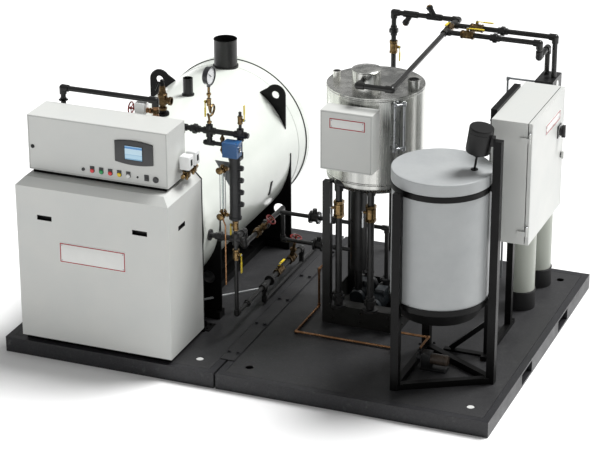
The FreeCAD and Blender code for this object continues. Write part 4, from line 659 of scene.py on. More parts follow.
riser_x = box_low.x + 0.090
for x in (riser_x, vent.x):
    lathe(mesh, (x, vent.y, box_high.z - 0.002 if x == riser_x else cabinet_high.z), (0, 0, 1),
          ((0.0168, 0.0), (0.030, 0.0), (0.030, 0.002), (0.0225, 0.004), (0.0215, 0.012), (0.0168, 0.012),
           (0.0168, 0.0)), 32)
finish_piece("pipe_grommets", mesh, black)

# Every lever valve is a forged brass body on threaded pipe. The lever is bent strip in a yellow vinyl sleeve,
# or plain stainless on the pump suctions, and a nut holds it on the stem.
paint(brass, "ball_valves")
yellow = enamel("yellow_vinyl", "#EAD233", "#D9BE28", 0.3, peel=0.2)
stem_of = {"gauge_lever": (-1, 0, 0), "column_vent_lever": (1, 0, 0), "column_lever": (-1, 0, 0),
           "column_drain_lever": (1, 0, 0), "blowdown_lever": (0, 0, 1), "left_suction_lever": (-1, 0, 0),
           "right_suction_lever": (-1, 0, 0), "inlet_lever": (1, 0, 0), "hard_water_lever": (0, 0, 1),
           "soft_water_lever": (0, 0, 1), "bypass_lever": (0, 0, 1)}
pivots = {joint["child"]: Vector(joint["pos_m"]) for joint in frame["joints"]}
for lever, stem in stem_of.items():
    paint(steel if "suction" in lever else yellow, lever)
    mesh = bmesh.new()
    top = pivots[lever] + Vector(stem) * 0.007
    bar(mesh, top - Vector(stem) * 0.0006, top + Vector(stem) * 0.0006, 0.0085, sides=20)
    hexagon(mesh, top, stem, 0.0115, 0.0045, 0.0005)
    finish_piece(lever + "_nut", mesh, steel, lever, smooth=30)

# The handwheel valves are cast bronze globe valves. Each wheel is a dished iron casting with a round rim,
# painted dark red, with a brass nut on the spindle.
paint(bronze, "handwheel_valves")
red = enamel("handwheel_red", "#8A1F1C", "#641413", 0.28, peel=0.3)
wheels = [joint for joint in frame["joints"] if joint["child"].endswith("_handwheel")]
for joint in wheels:
    paint(red, joint["child"])
    spindle = Vector(joint["axis"])
    mesh = bmesh.new()
    hexagon(mesh, Vector(joint["pos_m"]) + spindle * 0.0055, spindle, 0.013, 0.006, 0.0006)
    finish_piece(joint["child"] + "_nut", mesh, brass, joint["child"], smooth=30)

# The water column is a cast iron chamber beside the shell, with plugged tappings. Black threaded pipe
# joins it to the steam and water spaces, the feed line and the blowdown line below it.
cast = enamel("cast_iron", "#2B2C2D", "#17181A", 0.36, peel=0.9, soil=0.10, sheen=0.4)
paint(cast, "water_column")
paint(iron, "column_manifold", "boiler_piping")
column_low, column_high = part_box("water_column")
column_radius = 0.035
column_x = column_low.x + column_radius + 0.005
column_y = (column_low.y + column_high.y) / 2
mesh = bmesh.new()
for z, half in ((column_low.z + 0.007, 0.007), (column_high.z - 0.012, 0.010)):
    profile = [(0.034, -half), (0.0396, -half), (0.0396, half), (0.034, half)]
    ring(mesh, (column_x, column_y, z), (0, 0, 1), profile, 48)
for drop in (0.075, 0.155, 0.235, 0.315):
    spot = Vector((column_x + column_radius + 0.016, column_y, column_high.z - drop))
    lathe(mesh, spot, (1, 0, 0),
          ((0.0001, -0.030), (0.0185, -0.030), (0.0185, -0.006), (0.0165, -0.004), (0.0001, -0.004)), 28)
    block(mesh, spot + Vector((0.004, -0.0075, -0.0075)), spot + Vector((0.0062, 0.0075, 0.0075)), 0.001)
finish_piece("column_rims", mesh, cast)
mesh = bmesh.new()
bracket_edge = column_x - 0.042
bracket_y = column_y + 0.036
bracket_points = [Vector((bracket_edge, bracket_y, column_high.z - 0.06)),
                  Vector((column_x - 0.150, bracket_y, column_high.z - 0.06)),
                  Vector((bracket_edge, bracket_y, column_high.z - 0.24))]
prism(mesh, bracket_points, (0, 0.003, 0))
finish_piece("column_bracket", mesh, enamel("bracket_grey", "#8C9093", "#777B7E", 0.35))

# A level control stands on the column: a blue die-cast head with a lid held by four screws,
# and a bright screwed port at its right.
blue = enamel("blue_housing", "#2F649C", "#24507F", 0.3, peel=0.3)
paint(blue, "level_control_head")
head_low, head_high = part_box("level_control_head")
mesh = bmesh.new()
block(mesh, (head_low.x - 0.0025, head_low.y - 0.0025, head_high.z - 0.016),
      (head_high.x + 0.0025, head_high.y + 0.0025, head_high.z + 0.002), 0.003)
finish_piece("level_control_lid", mesh, blue)
mesh = bmesh.new()
for x in (head_low.x + 0.010, head_high.x - 0.010):
    for y in (head_low.y + 0.010, head_high.y - 0.010):
        lathe(mesh, (x, y, head_high.z + 0.002), (0, 0, 1),
              ((0.0001, 0.0), (0.0045, 0.0), (0.004, 0.0025), (0.0001, 0.003)), 16)
lathe(mesh, (head_high.x, head_low.y + 0.040, head_low.z + 0.050), (1, 0, 0),
      ((0.0001, 0), (0.019, 0.0), (0.019, 0.005), (0.014, 0.008), (0.013, 0.006), (0.0001, 0.006)), 32)
finish_piece("level_control_fittings", mesh, steel)

# The gauge glass is a clear tube between two angle cocks, guarded by three rods. The cocks and packing
# nuts are brass, and a thin copper drain runs down from the lower one.
glass_finish, glass_shader = new_finish("gauge_tube")
smear = grain(glass_finish, 40, 3)
tint = ramp(glass_finish, smear, 0.3, 0.7, linear("#E8F1EF"), linear("#F4F8F7"))
glass_finish.node_tree.links.new(tint, glass_shader.inputs["Base Color"])
glass_shader.inputs["Transmission Weight"].default_value = 0.9
glass_shader.inputs["Roughness"].default_value = 0.05
glass_shader.inputs["IOR"].default_value = 1.47
glass_x = column_x - 0.083
low_cock = Vector((glass_x, column_y, axis_z + 0.127))
high_cock = Vector((glass_x, column_y, axis_z + 0.436))
mesh = bmesh.new()
lathe(mesh, low_cock, (0, 0, 1),
      ((0.0062, 0.012), (0.0078, 0.012), (0.0078, 0.297), (0.0062, 0.297), (0.0062, 0.012)), 28)
finish_piece("gauge_tube", mesh, glass_finish, smooth=60)
mesh = bmesh.new()
for turn in range(3):
    angle = math.radians(60 + 120 * turn)
    offset = Vector((0.019 * math.cos(angle), 0.019 * math.sin(angle), 0))
    bar(mesh, low_cock + offset + Vector((0, 0, 0.018)), high_cock + offset - Vector((0, 0, 0.018)), 0.003,
        sides=14)
finish_piece("gauge_guard_rods", mesh, steel)
mesh = bmesh.new()
for cock, way in ((low_cock, 1), (high_cock, -1)):
    lathe(mesh, cock, (0, 0, way),
          ((0.0001, -0.024), (0.010, -0.024), (0.012, -0.018), (0.0155, -0.012), (0.0155, 0.010),
           (0.024, 0.016),
                                    (0.024, 0.021), (0.0145, 0.023), (0.0145, 0.031), (0.0085, 0.034),
           (0.0001, 0.034)), 36)
    hexagon(mesh, cock + Vector((0, 0, way * 0.022)), (0, 0, way), 0.027, 0.010)
    lathe(mesh, cock, (0, -1, 0),
          ((0.0001, 0), (0.012, 0.0), (0.012, 0.022), (0.0085, 0.026), (0.0085, 0.046), (0.019, 0.049),
                                   (0.0235, 0.0535), (0.019, 0.058), (0.006, 0.0595), (0.0001, 0.0595)), 32)
    bar(mesh, cock, cock + Vector((0.041, 0, 0)), 0.0095)
    hexagon(mesh, cock + Vector((0.020, 0, 0)), (1, 0, 0), 0.026, 0.012)
gauge_cocks = finish_piece("gauge_cocks", mesh, brass, smooth=50)
drain_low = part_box("gauge_glass")[0].z
drain_points = [low_cock - Vector((0, 0, 0.02)), Vector((glass_x, column_y, low_cock.z - 0.044)),
                Vector((glass_x + 0.035, column_y - 0.050, low_cock.z - 0.052)),
                Vector((glass_x + 0.035, column_y - 0.050, drain_low))]
mesh = bmesh.new()
for start, end in zip(drain_points, drain_points[1:]):
    bar(mesh, start, end, 0.0055, sides=20)
    bmesh.ops.create_uvsphere(mesh, u_segments=20, v_segments=12, radius=0.0057,
                              matrix=Matrix.Translation(end))
finish_piece("gauge_drain", mesh, copper, smooth=60)
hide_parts("gauge_glass")

# The steam gauge stands on a brass siphon with a coil in it: a black case with a ring, a white dial
# with plain graduations and a pointer. Bronze test cocks hang on the branch below the cross.
gauge_pivot = pivots["gauge_lever"]
riser = Vector((gauge_pivot.x + 0.0207, gauge_pivot.y, gauge_pivot.z))
manifold_z = riser.z - 0.188
dial = Vector((riser.x, riser.y, manifold_z + 0.360))
dial_turn = math.radians(4)
dial_axis = Vector((math.cos(dial_turn), -math.sin(dial_turn), 0))
gauge_black = enamel("gauge_case", "#3B3D3F", "#2A2B2D", 0.3, peel=0.2)
mesh = bmesh.new()
lathe(mesh, dial, dial_axis,
      ((0.0001, -0.019), (0.050, -0.019), (0.056, -0.014), (0.057, 0.012), (0.061, 0.013), (0.0615, 0.019),
                              (0.057, 0.0205), (0.0535, 0.018), (0.0535, 0.012), (0.0001, 0.012)), 64)
hexagon(mesh, dial - Vector((0, 0, 0.072)), (0, 0, 1), 0.022, 0.016)
bar(mesh, dial - Vector((0, 0, 0.066)), dial - Vector((0, 0, 0.050)), 0.011)
gauge_case = finish_piece("gauge_case", mesh, gauge_black, smooth=45)
mesh = bmesh.new()
lathe(mesh, dial + dial_axis * 0.0125, dial_axis,
      ((0.0001, 0), (0.0525, 0.0), (0.0525, 0.0008), (0.0001, 0.0008)), 64)
finish_piece("gauge_dial", mesh, enamel("dial_white", "#EEF0F1", "#E6E8E9", 0.25, peel=0.02))
mesh = bmesh.new()
across = Vector((0, 0, 1)).cross(dial_axis)
turn_to_dial = Matrix((( across.x, 0, dial_axis.x, dial.x + dial_axis.x * 0.0138),
                       (across.y, 0, dial_axis.y, dial.y + dial_axis.y * 0.0138), (0, 1, 0, dial.z),
                       (0, 0, 0, 1)))
for mark in range(28):
    long = mark % 3 == 0
    verts = block(mesh, (0.041 if long else 0.045, -0.0006, 0.0), (0.050, 0.0006, 0.0004))
    bmesh.ops.rotate(mesh, verts=verts, cent=(0, 0, 0),
                     matrix=Matrix.Rotation(math.radians(-45 + 10 * mark), 3, "Z"))
pointer = bar(mesh, (0.012, 0, 0.001), (-0.042, 0, 0.001), 0.0022, sides=8, radius_end=0.0006)
bmesh.ops.rotate(mesh, verts=pointer, cent=(0, 0, 0), matrix=Matrix.Rotation(math.radians(-38), 3, "Z"))
bmesh.ops.transform(mesh, verts=mesh.verts, matrix=turn_to_dial)
finish_piece("gauge_marks", mesh, slot_black)
siphon = bpy.data.curves.new("siphon", "CURVE")
siphon.dimensions = "3D"
siphon.bevel_depth = 0.0075
siphon.bevel_resolution = 4
spline = siphon.splines.new("NURBS")
route = [Vector((riser.x, riser.y, manifold_z + 0.055)), Vector((riser.x, riser.y, manifold_z + 0.085))]
coil_radius = 0.036
coil_centre = riser + across * 0.034
coil_centre.z = manifold_z + 0.122
for step in range(15):
    angle = math.radians(200 + 25 * step)
    route.append(coil_centre + across * (coil_radius * math.cos(angle))
                 + Vector((0, 0, coil_radius * math.sin(angle)))
                 + dial_axis * (-0.011 + 0.0016 * step))
route += [Vector((riser.x, riser.y, manifold_z + 0.155)), Vector((riser.x, riser.y, manifold_z + 0.172))]
spline.points.add(len(route) - 1)
for point, place_at in zip(spline.points, route):
    point.co = (*place_at, 1)
spline.order_u = 3
spline.use_endpoint_u = True
siphon_object = bpy.data.objects.new("siphon_shape", siphon)
bpy.context.scene.collection.objects.link(siphon_object)
bpy.context.view_layer.update()
depsgraph = bpy.context.evaluated_depsgraph_get()
siphon_mesh = bpy.data.meshes.new_from_object(siphon_object.evaluated_get(depsgraph))
bpy.data.objects.remove(siphon_object)
mesh = bmesh.new()
mesh.from_mesh(siphon_mesh)
bmesh.ops.holes_fill(mesh, edges=[e for e in mesh.edges if e.is_boundary])
bar(mesh, riser + Vector((0, 0, 0.030)), dial - Vector((0, 0, 0.070)), 0.0085)
hexagon(mesh, riser + Vector((0, 0, 0.045)), (0, 0, 1), 0.026, 0.014)
hexagon(mesh, Vector((riser.x, riser.y, manifold_z + 0.050)), (0, 0, 1), 0.028, 0.012)
bmesh.ops.recalc_face_normals(mesh, faces=mesh.faces)
finish_piece("steam_siphon", mesh, brass, smooth=50)
cock = Vector((riser.x + 0.086, riser.y, manifold_z - 0.080))
mesh = bmesh.new()
for way in (1, -1):
    lathe(mesh, cock + Vector((0, 0, way * 0.017)), (0, 0, way),
          ((0.0001, 0), (0.011, 0.0), (0.011, 0.008), (0.0155, 0.014), (0.0155, 0.026), (0.010, 0.032),
           (0.0075, 0.043), (0.0001, 0.044)), 28)
finish_piece("test_cocks", mesh, bronze, smooth=50)
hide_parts("pressure_gauge")

# The feedwater tank is polished stainless sheet: a rolled wall, a dished bottom and a flat top that carries
# a lidded round neck and two nozzles. A weld bead rings each end, and a black disc in each nozzle's mouth is
# painted shade for its open bore.
stainless, sheet_shader = new_finish("stainless_sheet")
reflections = grain(stainless, 9, 2, stretch=(1, 1, 0.03))
brushed = grain(stainless, 160, 3, stretch=(1, 1, 0.02))
sheet_tone = ramp(stainless, reflections, 0.38, 0.62, linear("#A5A6A3"), linear("#E9E9E4"))
stainless.node_tree.links.new(sheet_tone, sheet_shader.inputs["Base Color"])
stainless.node_tree.links.new(span(stainless, brushed, 0.3, 0.7, 0.20, 0.30),
                              sheet_shader.inputs["Roughness"])
sheet_shader.inputs["Metallic"].default_value = 1.0
paint(stainless, "feed_tank_shell", "feed_tank_top", "feed_tank_bottom")
paint(steel, "level_gauge")
tank_low, tank_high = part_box("feed_tank_shell")
tank_x = (tank_low.x + tank_high.x) / 2
tank_y = (tank_low.y + tank_high.y) / 2
tank_radius = (tank_high.x - tank_low.x) / 2
mesh = bmesh.new()
for z in (tank_low.z + 0.001, tank_high.z - 0.012):
    profile = [(tank_radius - 0.001, -0.008), (tank_radius + 0.0015, -0.006), (tank_radius + 0.0022, 0.0),
               (tank_radius + 0.0015, 0.006), (tank_radius - 0.001, 0.008)]
    ring(mesh, (tank_x, tank_y, z), (0, 0, 1), profile, 112)
finish_piece("tank_weld_rings", mesh, stainless, smooth=60)
hatch = Vector((tank_x - 0.005, tank_y - 0.155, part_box("feed_tank_top")[1].z))
hatch_radius = 0.090
mesh = bmesh.new()
lathe(mesh, hatch - Vector((0, 0, 0.006)), (0, 0, 1),
      ((0.0001, 0.0), (hatch_radius + 0.003, 0.0), (hatch_radius + 0.0045, 0.002),
                                                       (hatch_radius + 0.0045, 0.008),
       (hatch_radius + 0.001, 0.0105), (0.045, 0.0145), (0.0001, 0.0155)), 64)
finish_piece("hatch_lid", mesh, stainless, smooth=45)
rims = bmesh.new()
bore_shade_discs = bmesh.new()
for x, radius, height in ((tank_x - 0.250, 0.024, 0.055), (tank_x + 0.256, 0.0365, 0.062)):
    top = Vector((x, tank_y - 0.025, tank_high.z + height))
    profile = [(radius - 0.005, -0.008), (radius + 0.002, -0.008), (radius + 0.003, -0.004),
               (radius + 0.002, 0.001), (radius - 0.005, 0.001)]
    ring(rims, top, (0, 0, 1), profile, 40)
    # Each black disc across a nozzle's mouth is painted shade for its open bore.
    lathe(bore_shade_discs, top - Vector((0, 0, 0.002)), (0, 0, 1),
          ((0.0001, 0.0), (radius - 0.0045, 0.0), (radius - 0.0045, 0.0022), (0.0001, 0.0022)), 32)
finish_piece("nozzle_rims", rims, stainless, smooth=45)
finish_piece("nozzle_bore_shade", bore_shade_discs, black)

# The tank's level gauge is a pair of bright metal tubes that stand clear of its right front.
# Each ends in a hexagon nut, and short stubs hold the pair to the wall.
level_low, level_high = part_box("level_gauge")
mesh = bmesh.new()
tube_reach = tank_radius + 0.028
for turn in (-50, -39):
    angle = math.radians(turn)
    spot = Vector((tank_x + tube_reach * math.cos(angle), tank_y + tube_reach * math.sin(angle), 0))
    for z in (level_low.z + 0.004, level_high.z - 0.030):
        hexagon(mesh, spot + Vector((0, 0, z)), (0, 0, 1), 0.026, 0.024)
finish_piece("level_gauge_nuts", mesh, steel)

# The tank's four legs are square tube on a tray of folded plate, all sprayed charcoal like the skids.
# Bolts along the tray's front and right side fasten it.
stand_paint = enamel("stand_charcoal", "#242422", "#141413", 0.36, peel=0.4, soil=0.06, sheen=0.3)
paint(stand_paint, "tank_stand")
stand_low, stand_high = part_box("tank_stand")
mesh = bmesh.new()
for x in (stand_low.x + 0.07, tank_x, stand_high.x - 0.07):
    for z in (deck + 0.04, deck + 0.10):
        bolt(mesh, (x, stand_low.y, z), (0, -1, 0), 0.013)
        bolt(mesh, (stand_high.x, tank_y + (x - tank_x), z), (1, 0, 0), 0.013)
finish_piece("tray_bolts", mesh, stand_paint)

# The tank's control box is a powder-coated steel wall box on two rails, with a seam round its door and a
# blank plate. Black cable glands come out of its underside.
paint(powder, "tank_control_box")
control_low, control_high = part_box("tank_control_box")
mesh = bmesh.new()
inset = 0.007
border(mesh, (control_low.x + inset, control_low.y - 0.0005, control_low.z + inset),
       (control_high.x - inset, control_low.y + 0.0016, control_high.z - inset), 0.003)
finish_piece("tank_box_door_seam", mesh, bpy.data.materials["seam_shadow"])
blank_plate("tank_box_plate",
            ((control_low.x + control_high.x) / 2 + 0.007, control_low.y, control_low.z + 0.3075), (0, -1, 0),
            0.238, 0.073)
mesh = bmesh.new()
for x in (control_low.x + 0.09, control_low.x + 0.15, control_low.x + 0.21):
    lathe(mesh, (x, control_low.y + 0.065, control_low.z), (0, 0, -1),
          ((0.0001, 0), (0.014, 0.0), (0.014, 0.008), (0.011, 0.010), (0.009, 0.024), (0.0001, 0.024)), 24)
finish_piece("tank_box_glands", mesh, slot_black)

# Two centrifugal pumps stand in the tray: cast volutes with bolted flanges, driven by finned motors with a
# terminal box. Suction pipes drop from the tank, and the discharges run left to the feed line.
paint(iron, "pump_piping")
pump_low, pump_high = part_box("feed_pumps")
rear_pump = pump_high.y - 0.040
front_pump = pump_high.y - 0.112
pump_dark = enamel("pump_enamel", "#2C3236", "#1D2124", 0.34, peel=0.6, soil=0.15)
shaft_z = pump_low.z + 0.095
pumps = ((tank_x - 0.105, rear_pump, 0.200), (tank_x + 0.045, front_pump, 0.230))
mesh = bmesh.new()
for x, y, length in pumps:
    volute = Vector((x, y, shaft_z))
    lathe(mesh, volute, (0, 1, 0),
          ((0.0001, -0.028), (0.050, -0.028), (0.064, -0.022), (0.071, -0.008), (0.071, 0.010),
           (0.062, 0.024), (0.030, 0.028), (0.0001, 0.028)), 48)
    lathe(mesh, volute, (0, 0, 1),
          ((0.0001, 0), (0.024, 0.060), (0.022, 0.082), (0.040, 0.087), (0.040, 0.102), (0.0001, 0.102)), 36)
    flange_bolts(mesh, volute + Vector((0, 0, 0.102)), (0, 0, 1), 0.031, 0.009)
    block(mesh, (x - 0.050, y - 0.024, pump_low.z), (x + 0.050, y + 0.004, pump_low.z + 0.055), 0.004)
volutes = finish_piece("pump_volutes", mesh, cast, smooth=50)
mesh = bmesh.new()
for x, y, length in pumps:
    back = Vector((x, y - length, shaft_z))
    fins = [(0.0001, -0.022), (0.046, -0.022), (0.050, -0.016), (0.050, 0.0)]
    count = int(length / 0.011)
    for fin in range(count - 3):
        z = 0.004 + fin * 0.011
        fins += [(0.0505, z), (0.0505, z + 0.0055), (0.058, z + 0.006), (0.058, z + 0.0085),
                 (0.0505, z + 0.009)]
    fins += [(0.0505, length - 0.030), (0.0001, length - 0.030)]
    lathe(mesh, back, (0, 1, 0), fins, 40)
    block(mesh, (x - 0.020, y - length * 0.7, shaft_z + 0.045),
          (x + 0.045, y - length * 0.35, shaft_z + 0.088), 0.004)
    block(mesh, (x - 0.050, y - length + 0.018, pump_low.z),
          (x + 0.050, y - length + 0.042, pump_low.z + 0.060), 0.003)
finish_piece("pump_motors", mesh, pump_dark, smooth=30)
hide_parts("feed_pumps")

# Four bright steel bolts stand on each face of the pump discharges' flanges.
# The flanges themselves are part of the pipe.
piping_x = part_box("right_skid_frame")[0].x + 0.150
mesh = bmesh.new()
for y, line_z in ((front_pump, axis_z - 0.123), (rear_pump, deck + 0.330)):
    for side in (-1, 1):
        flange_bolts(mesh, (piping_x + side * 0.033, y, line_z), (side, 0, 0), 0.033, 0.010)
finish_piece("discharge_flange_bolts", mesh, steel)

# The chemical tank is rotomoulded polyethylene, milky white with a slight sheen, under a turned-down lid.
# It sits in a conical steel saddle between three posts, painted satin black.
poly, poly_shader = new_finish("moulded_polyethylene")
cloud = grain(poly, 5, 4)
poly_tone = ramp(poly, cloud, 0.3, 0.7, linear("#A2A5A6"), linear("#ACAFAF"))
poly.node_tree.links.new(poly_tone, poly_shader.inputs["Base Color"])
poly.node_tree.links.new(span(poly, grain(poly, 30, 3), 0.3, 0.7, 0.38, 0.5), poly_shader.inputs["Roughness"])
relief(poly, poly_shader, grain(poly, 220, 4), 0.25, 0.0006)
poly_shader.inputs["Subsurface Weight"].default_value = 0.12
poly_shader.inputs["Subsurface Radius"].default_value = (0.02, 0.02, 0.02)
paint(poly, "chemical_tank", "chemical_tank_lid")
paint(black, "chemical_stand")
drum_low, drum_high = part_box("chemical_tank")
drum = Vector(((drum_low.x + drum_high.x) / 2, (drum_low.y + drum_high.y) / 2, 0))
lid_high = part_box("chemical_tank_lid")[1].z
post_reach = 0.342
mesh = bmesh.new()
for turn in (0, 120, 240):
    angle = math.radians(turn)
    outward = Vector((math.cos(angle), math.sin(angle), 0))
    foot = drum + outward * post_reach
    for side in (-1, 1):
        spot = foot + Vector((-outward.y, outward.x, 0)) * side * 0.045 - outward * 0.010
        bolt(mesh, (spot.x, spot.y, deck + 0.040), (0, 0, 1), 0.013)
finish_piece("stand_bolts", mesh, black)

# The mixer is a small sealed motor clamped to the tall post, painted satin black.
# Its shaft goes down to a flange on the lid.
post_x = drum.x + post_reach - 0.025
motor = Vector((post_x - 0.092, drum.y + 0.008, lid_high + 0.200))
shaft_foot = Vector((drum.x + 0.193, drum.y + 0.020, lid_high))
mixer_axis = (motor - shaft_foot).normalized()
motor_black = enamel("motor_black", "#171717", "#0D0D0D", 0.32, peel=0.4, sheen=0.3)
mesh = bmesh.new()
lathe(mesh, motor, mixer_axis,
      ((0.0001, -0.106), (0.026, -0.106), (0.028, -0.100), (0.028, -0.086), (0.062, -0.0825), (0.072, -0.078),
       (0.074, -0.070), (0.074, 0.052), (0.0725, 0.0535), (0.0725, 0.056), (0.074, 0.0575), (0.074, 0.076),
       (0.071, 0.0815), (0.060, 0.0825), (0.0001, 0.0825)), 64)
block(mesh, (motor.x + 0.045, motor.y - 0.020, motor.z - 0.030), (post_x, motor.y + 0.020, motor.z + 0.030),
      0.003)
mixer_motor = finish_piece("mixer_motor", mesh, motor_black, smooth=40)
mesh = bmesh.new()
bar(mesh, shaft_foot + mixer_axis * 0.001, motor - mixer_axis * 0.100, 0.007)
lathe(mesh, shaft_foot + Vector((0, 0, 0.0005)), (0, 0, 1),
      ((0.0085, 0.0), (0.022, 0.0), (0.022, 0.006), (0.0125, 0.009), (0.0085, 0.009), (0.0085, 0.0)), 32)
finish_piece("mixer_shaft", mesh, motor_black)
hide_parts("mixer")

# A dosing pump under the tank draws through the copper line on the deck. Its motor is a ribbed brown-black
# cylinder, its liquid end a clamped block with valve nuts above and below.
paint(copper, "copper_line")
dosing_low, dosing_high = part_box("chemical_pump")
dose = Vector((dosing_low.x + 0.018, (dosing_low.y + dosing_high.y) / 2, deck + 0.070))
pump_brown = enamel("dosing_motor", "#5A4C40", "#3B322B", 0.35, peel=0.3)
mesh = bmesh.new()
profile = [(0.0001, 0.0), (0.030, 0.0), (0.034, 0.004)]
for rib in range(9):
    z = 0.012 + rib * 0.011
    profile += [(0.034, z), (0.0355, z + 0.002), (0.0355, z + 0.006), (0.034, z + 0.008)]
profile += [(0.034, 0.116), (0.030, 0.120), (0.0001, 0.120)]
lathe(mesh, dose + Vector((0.062, 0, 0)), (1, 0, 0), profile, 40)
dosing_motor = finish_piece("dosing_motor", mesh, pump_brown, smooth=40)
mesh = bmesh.new()
block(mesh, (dosing_low.x + 0.030, dosing_low.y, deck), (dosing_high.x - 0.005, dosing_high.y, deck + 0.016),
      0.003)
block(mesh, (dose.x + 0.017, dosing_low.y + 0.002, deck + 0.012),
      (dose.x + 0.077, dosing_high.y - 0.002, dose.z + 0.040), 0.006, 3)
lathe(mesh, dose + Vector((-0.018, 0, 0)), (1, 0, 0),
      ((0.0001, 0), (0.022, 0.0), (0.026, 0.003), (0.026, 0.030), (0.0001, 0.030)), 32)
for way, reach in ((1, 0.050), (-1, 0.022)):
    bar(mesh, dose, dose + Vector((0, 0, way * reach)), 0.009)
    hexagon(mesh, dose + Vector((0, 0, way * (reach - 0.014))), (0, 0, way), 0.022, 0.014)
finish_piece("dosing_pump", mesh, cast)
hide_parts("chemical_pump")

# The electrical enclosure hangs on a rack of square tube. Its door turns on two pin hinges at the front
# edge and carries a pressed line, a gasket, a blank plate, a latch and the rotary disconnect.
paint(powder, "enclosure_body", "enclosure_door")
paint(black, "enclosure_rack")
door_low, door_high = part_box("enclosure_door")
face_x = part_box("right_skid_frame")[1].x
inset = 0.012
front_edge = door_low.y + 0.019
mesh = bmesh.new()
border(mesh, (face_x - 0.001, front_edge + inset, door_low.z + inset),
       (face_x + 0.0006, door_high.y - inset, door_high.z - inset), 0.002)
finish_piece("door_press_line", mesh, powder, "enclosure_door")
blank_plate("door_plate", (face_x, front_edge + 0.4535, door_low.z + 0.631), (1, 0, 0), 0.317, 0.062,
            "enclosure_door")
gasket = enamel("door_gasket", "#1A1A1B", "#101011", 0.7)
body_face = face_x - 0.027
inset = 0.004
mesh = bmesh.new()
border(mesh, (body_face + 0.004, front_edge + inset, door_low.z + inset),
       (body_face + 0.0065, door_high.y - inset, door_high.z - inset), 0.010, butted=True, edge=0.0008)
finish_piece("door_gasket", mesh, gasket, "enclosure_door")
black_plastic = enamel("black_plastic", "#1D1D1E", "#121213", 0.35, peel=0.5)
paint(black_plastic, "disconnect_handle")
disconnect = pivots["disconnect_handle"]
mesh = bmesh.new()
block(mesh, (face_x, disconnect.y - 0.040, disconnect.z - 0.040),
      (face_x + 0.0065, disconnect.y + 0.040, disconnect.z + 0.040), 0.003)
finish_piece("disconnect_plate", mesh, black_plastic, "enclosure_door")
mesh = bmesh.new()
latch = Vector((face_x, door_high.y - 0.042, door_low.z + 0.347))
lathe(mesh, latch, (1, 0, 0),
      ((0.0145, 0), (0.019, 0.0), (0.019, 0.004), (0.0165, 0.006), (0.0145, 0.006), (0.0145, 0.0)), 32)
finish_piece("latch_bezel", mesh, black_plastic, "enclosure_door")
hinge = pivots["enclosure_door"]
mesh = bmesh.new()
for z in (door_low.z + 0.091, door_high.z - 0.089):
    lathe(mesh, (hinge.x, hinge.y, z + 0.030), (0, 0, 1),
          ((0.0001, 0), (0.0074, 0.0), (0.0074, 0.002), (0.005, 0.0038), (0.0001, 0.004)), 24)
finish_piece("hinge_caps", mesh, steel, "enclosure_door")
rack_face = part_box("enclosure_body")[0].x - 0.040
mesh = bmesh.new()
for z in (door_low.z + 0.060, door_low.z + 0.20, door_high.z - 0.20, door_high.z - 0.060):
    for y in (front_edge + 0.13, front_edge + 0.576):
        bolt(mesh, (rack_face, y, z), (-1, 0, 0), 0.012)
finish_piece("rack_bolts", mesh, steel)

# Two softener bottles stand in rubber boots: wound fibre and resin, with a faint thread of the winding.
# A black control head on the rear one is piped to both.
resin, resin_shader = new_finish("wound_resin")
place = add_node(resin, "TexCoord")
winding = add_node(resin, "TexWave",
                   {"Vector": place.outputs["Object"], "Scale": 55.0, "Distortion": 2.5, "Detail": 3.0},
                   bands_direction="Z")
resin_tone = ramp(resin, winding.outputs["Fac"], 0.1, 0.9, linear("#A3A89E"), linear("#B0B4AA"))
resin.node_tree.links.new(resin_tone, resin_shader.inputs["Base Color"])
resin.node_tree.links.new(span(resin, grain(resin, 20, 3), 0.3, 0.7, 0.28, 0.42),
                          resin_shader.inputs["Roughness"])
relief(resin, resin_shader, winding.outputs["Fac"], 0.15, 0.0006)
paint(resin, "softener_tanks")
rubber = enamel("boot_rubber", "#1B1B1C", "#111112", 0.65, peel=0.8)
paint(rubber, "softener_boots")
paint(black_plastic, "softener_valve")
softener_low, softener_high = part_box("softener_tanks")
softener_radius = (softener_high.x - softener_low.x) / 2
softener_x = (softener_high.x + softener_low.x) / 2
mesh = bmesh.new()
for y in (softener_low.y + softener_radius, softener_high.y - softener_radius):
    profile = [(softener_radius + 0.004, -0.004), (softener_radius + 0.0082, -0.004),
               (softener_radius + 0.0082, 0.003), (softener_radius + 0.004, 0.004)]
    ring(mesh, (softener_x, y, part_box("softener_boots")[1].z - 0.004), (0, 0, 1), profile, 48)
    profile = [(0.030, -0.010), (0.052, -0.010), (0.054, 0.0), (0.052, 0.012), (0.030, 0.012)]
    ring(mesh, (softener_x, y, softener_high.z + 0.010), (0, 0, 1), profile, 40)
finish_piece("softener_collars", mesh, black_plastic, smooth=45)
head_low, head_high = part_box("softener_valve")
mesh = bmesh.new()
lathe(mesh, (softener_x + 0.070, softener_high.y - softener_radius + 0.045, head_high.z - 0.045), (1, 0, 0),
      ((0.0001, 0), (0.026, 0.0), (0.026, 0.002), (0.022, 0.0032), (0.0001, 0.0032)), 40)
finish_piece("softener_timer", mesh, plate_face)

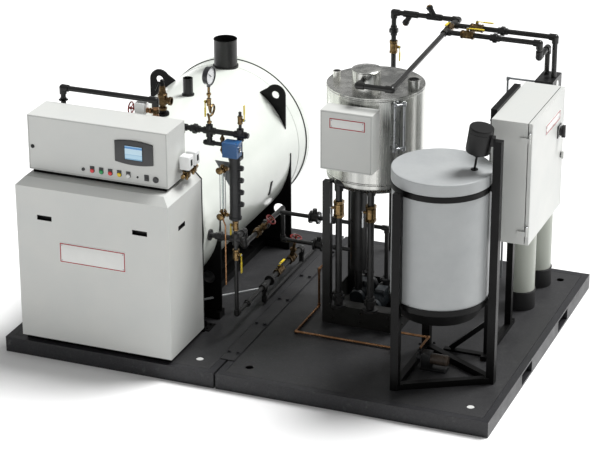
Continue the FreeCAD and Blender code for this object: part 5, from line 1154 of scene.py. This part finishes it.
# The water piping overhead is coated black steel with threaded malleable fittings, unions and strainers.
# A grey drain tube comes down beside the softeners.
pipe_black = enamel("coated_pipe", "#2B2B2A", "#141413", 0.28, peel=0.5, soil=0.08, sheen=0.45)
paint(pipe_black, "water_piping")
paint(enamel("grey_conduit", "#9DA1A4", "#878B8E", 0.35, peel=0.2), "drain_line")
inlet = Vector((tank_x - 0.232, tank_high.y + 0.677, tank_high.z + 0.133))
mesh = bmesh.new()
for x, tilt in ((inlet.x + 0.118, Vector((-0.5, 0, -0.866))), (inlet.x + 0.281, Vector((-0.5, 0, 0.866)))):
    hexagon(mesh, Vector((x, inlet.y, inlet.z)) + tilt * 0.079, tilt, 0.028, 0.010)
finish_piece("strainer_plugs", mesh, brass)

# The floor is a plain pale studio sweep, lit by a high soft sun from the back right and an even white sky.
# The camera looks down at the front of the plant from its right.
floor_mesh = bpy.data.meshes.new("floor")
mesh = bmesh.new()
bmesh.ops.create_grid(mesh, x_segments=1, y_segments=1, size=60)
mesh.to_mesh(floor_mesh)
mesh.free()
floor = bpy.data.objects.new("floor", floor_mesh)
floor.location.z = -0.001
bpy.context.scene.collection.objects.link(floor)
floor_finish, floor_shader = new_finish("studio_floor")
floor_tone = ramp(floor_finish, grain(floor_finish, 0.8, 2), 0.3, 0.7, linear("#F6F6F6"), linear("#FBFBFB"))
floor_finish.node_tree.links.new(floor_tone, floor_shader.inputs["Base Color"])
floor_shader.inputs["Roughness"].default_value = 0.75
floor_mesh.materials.append(floor_finish)

world = bpy.data.worlds.new("studio")
bpy.context.scene.world = world
world.use_nodes = True
world.node_tree.nodes["Background"].inputs["Color"].default_value = (1, 1, 1, 1)
world.node_tree.nodes["Background"].inputs["Strength"].default_value = 0.34

sun = bpy.data.lights.new("sun", "SUN")
sun.energy = 4.1
sun.angle = math.radians(26)
sun_object = bpy.data.objects.new("sun", sun)
sun_object.matrix_world = turned_to((3, 4, 9), (0.33, 0.36, 0.87))
bpy.context.scene.collection.objects.link(sun_object)

camera_data = bpy.data.cameras.new("camera")
camera_data.sensor_width = 36
camera_data.lens = 140.198
camera_data.clip_end = 200
camera = bpy.data.objects.new("camera", camera_data)
aim = Matrix.Rotation(math.radians(21.69588), 4, "Z") @ Matrix.Rotation(math.radians(90 - 23.17725), 4, "X")
aim = aim @ Matrix.Rotation(math.radians(-0.149), 4, "Z")
camera.matrix_world = Matrix.Translation((5.07469, -12.85652, 6.58648)) @ aim
bpy.context.scene.collection.objects.link(camera)
bpy.context.scene.camera = camera
bpy.context.scene.view_settings.view_transform = "Standard"
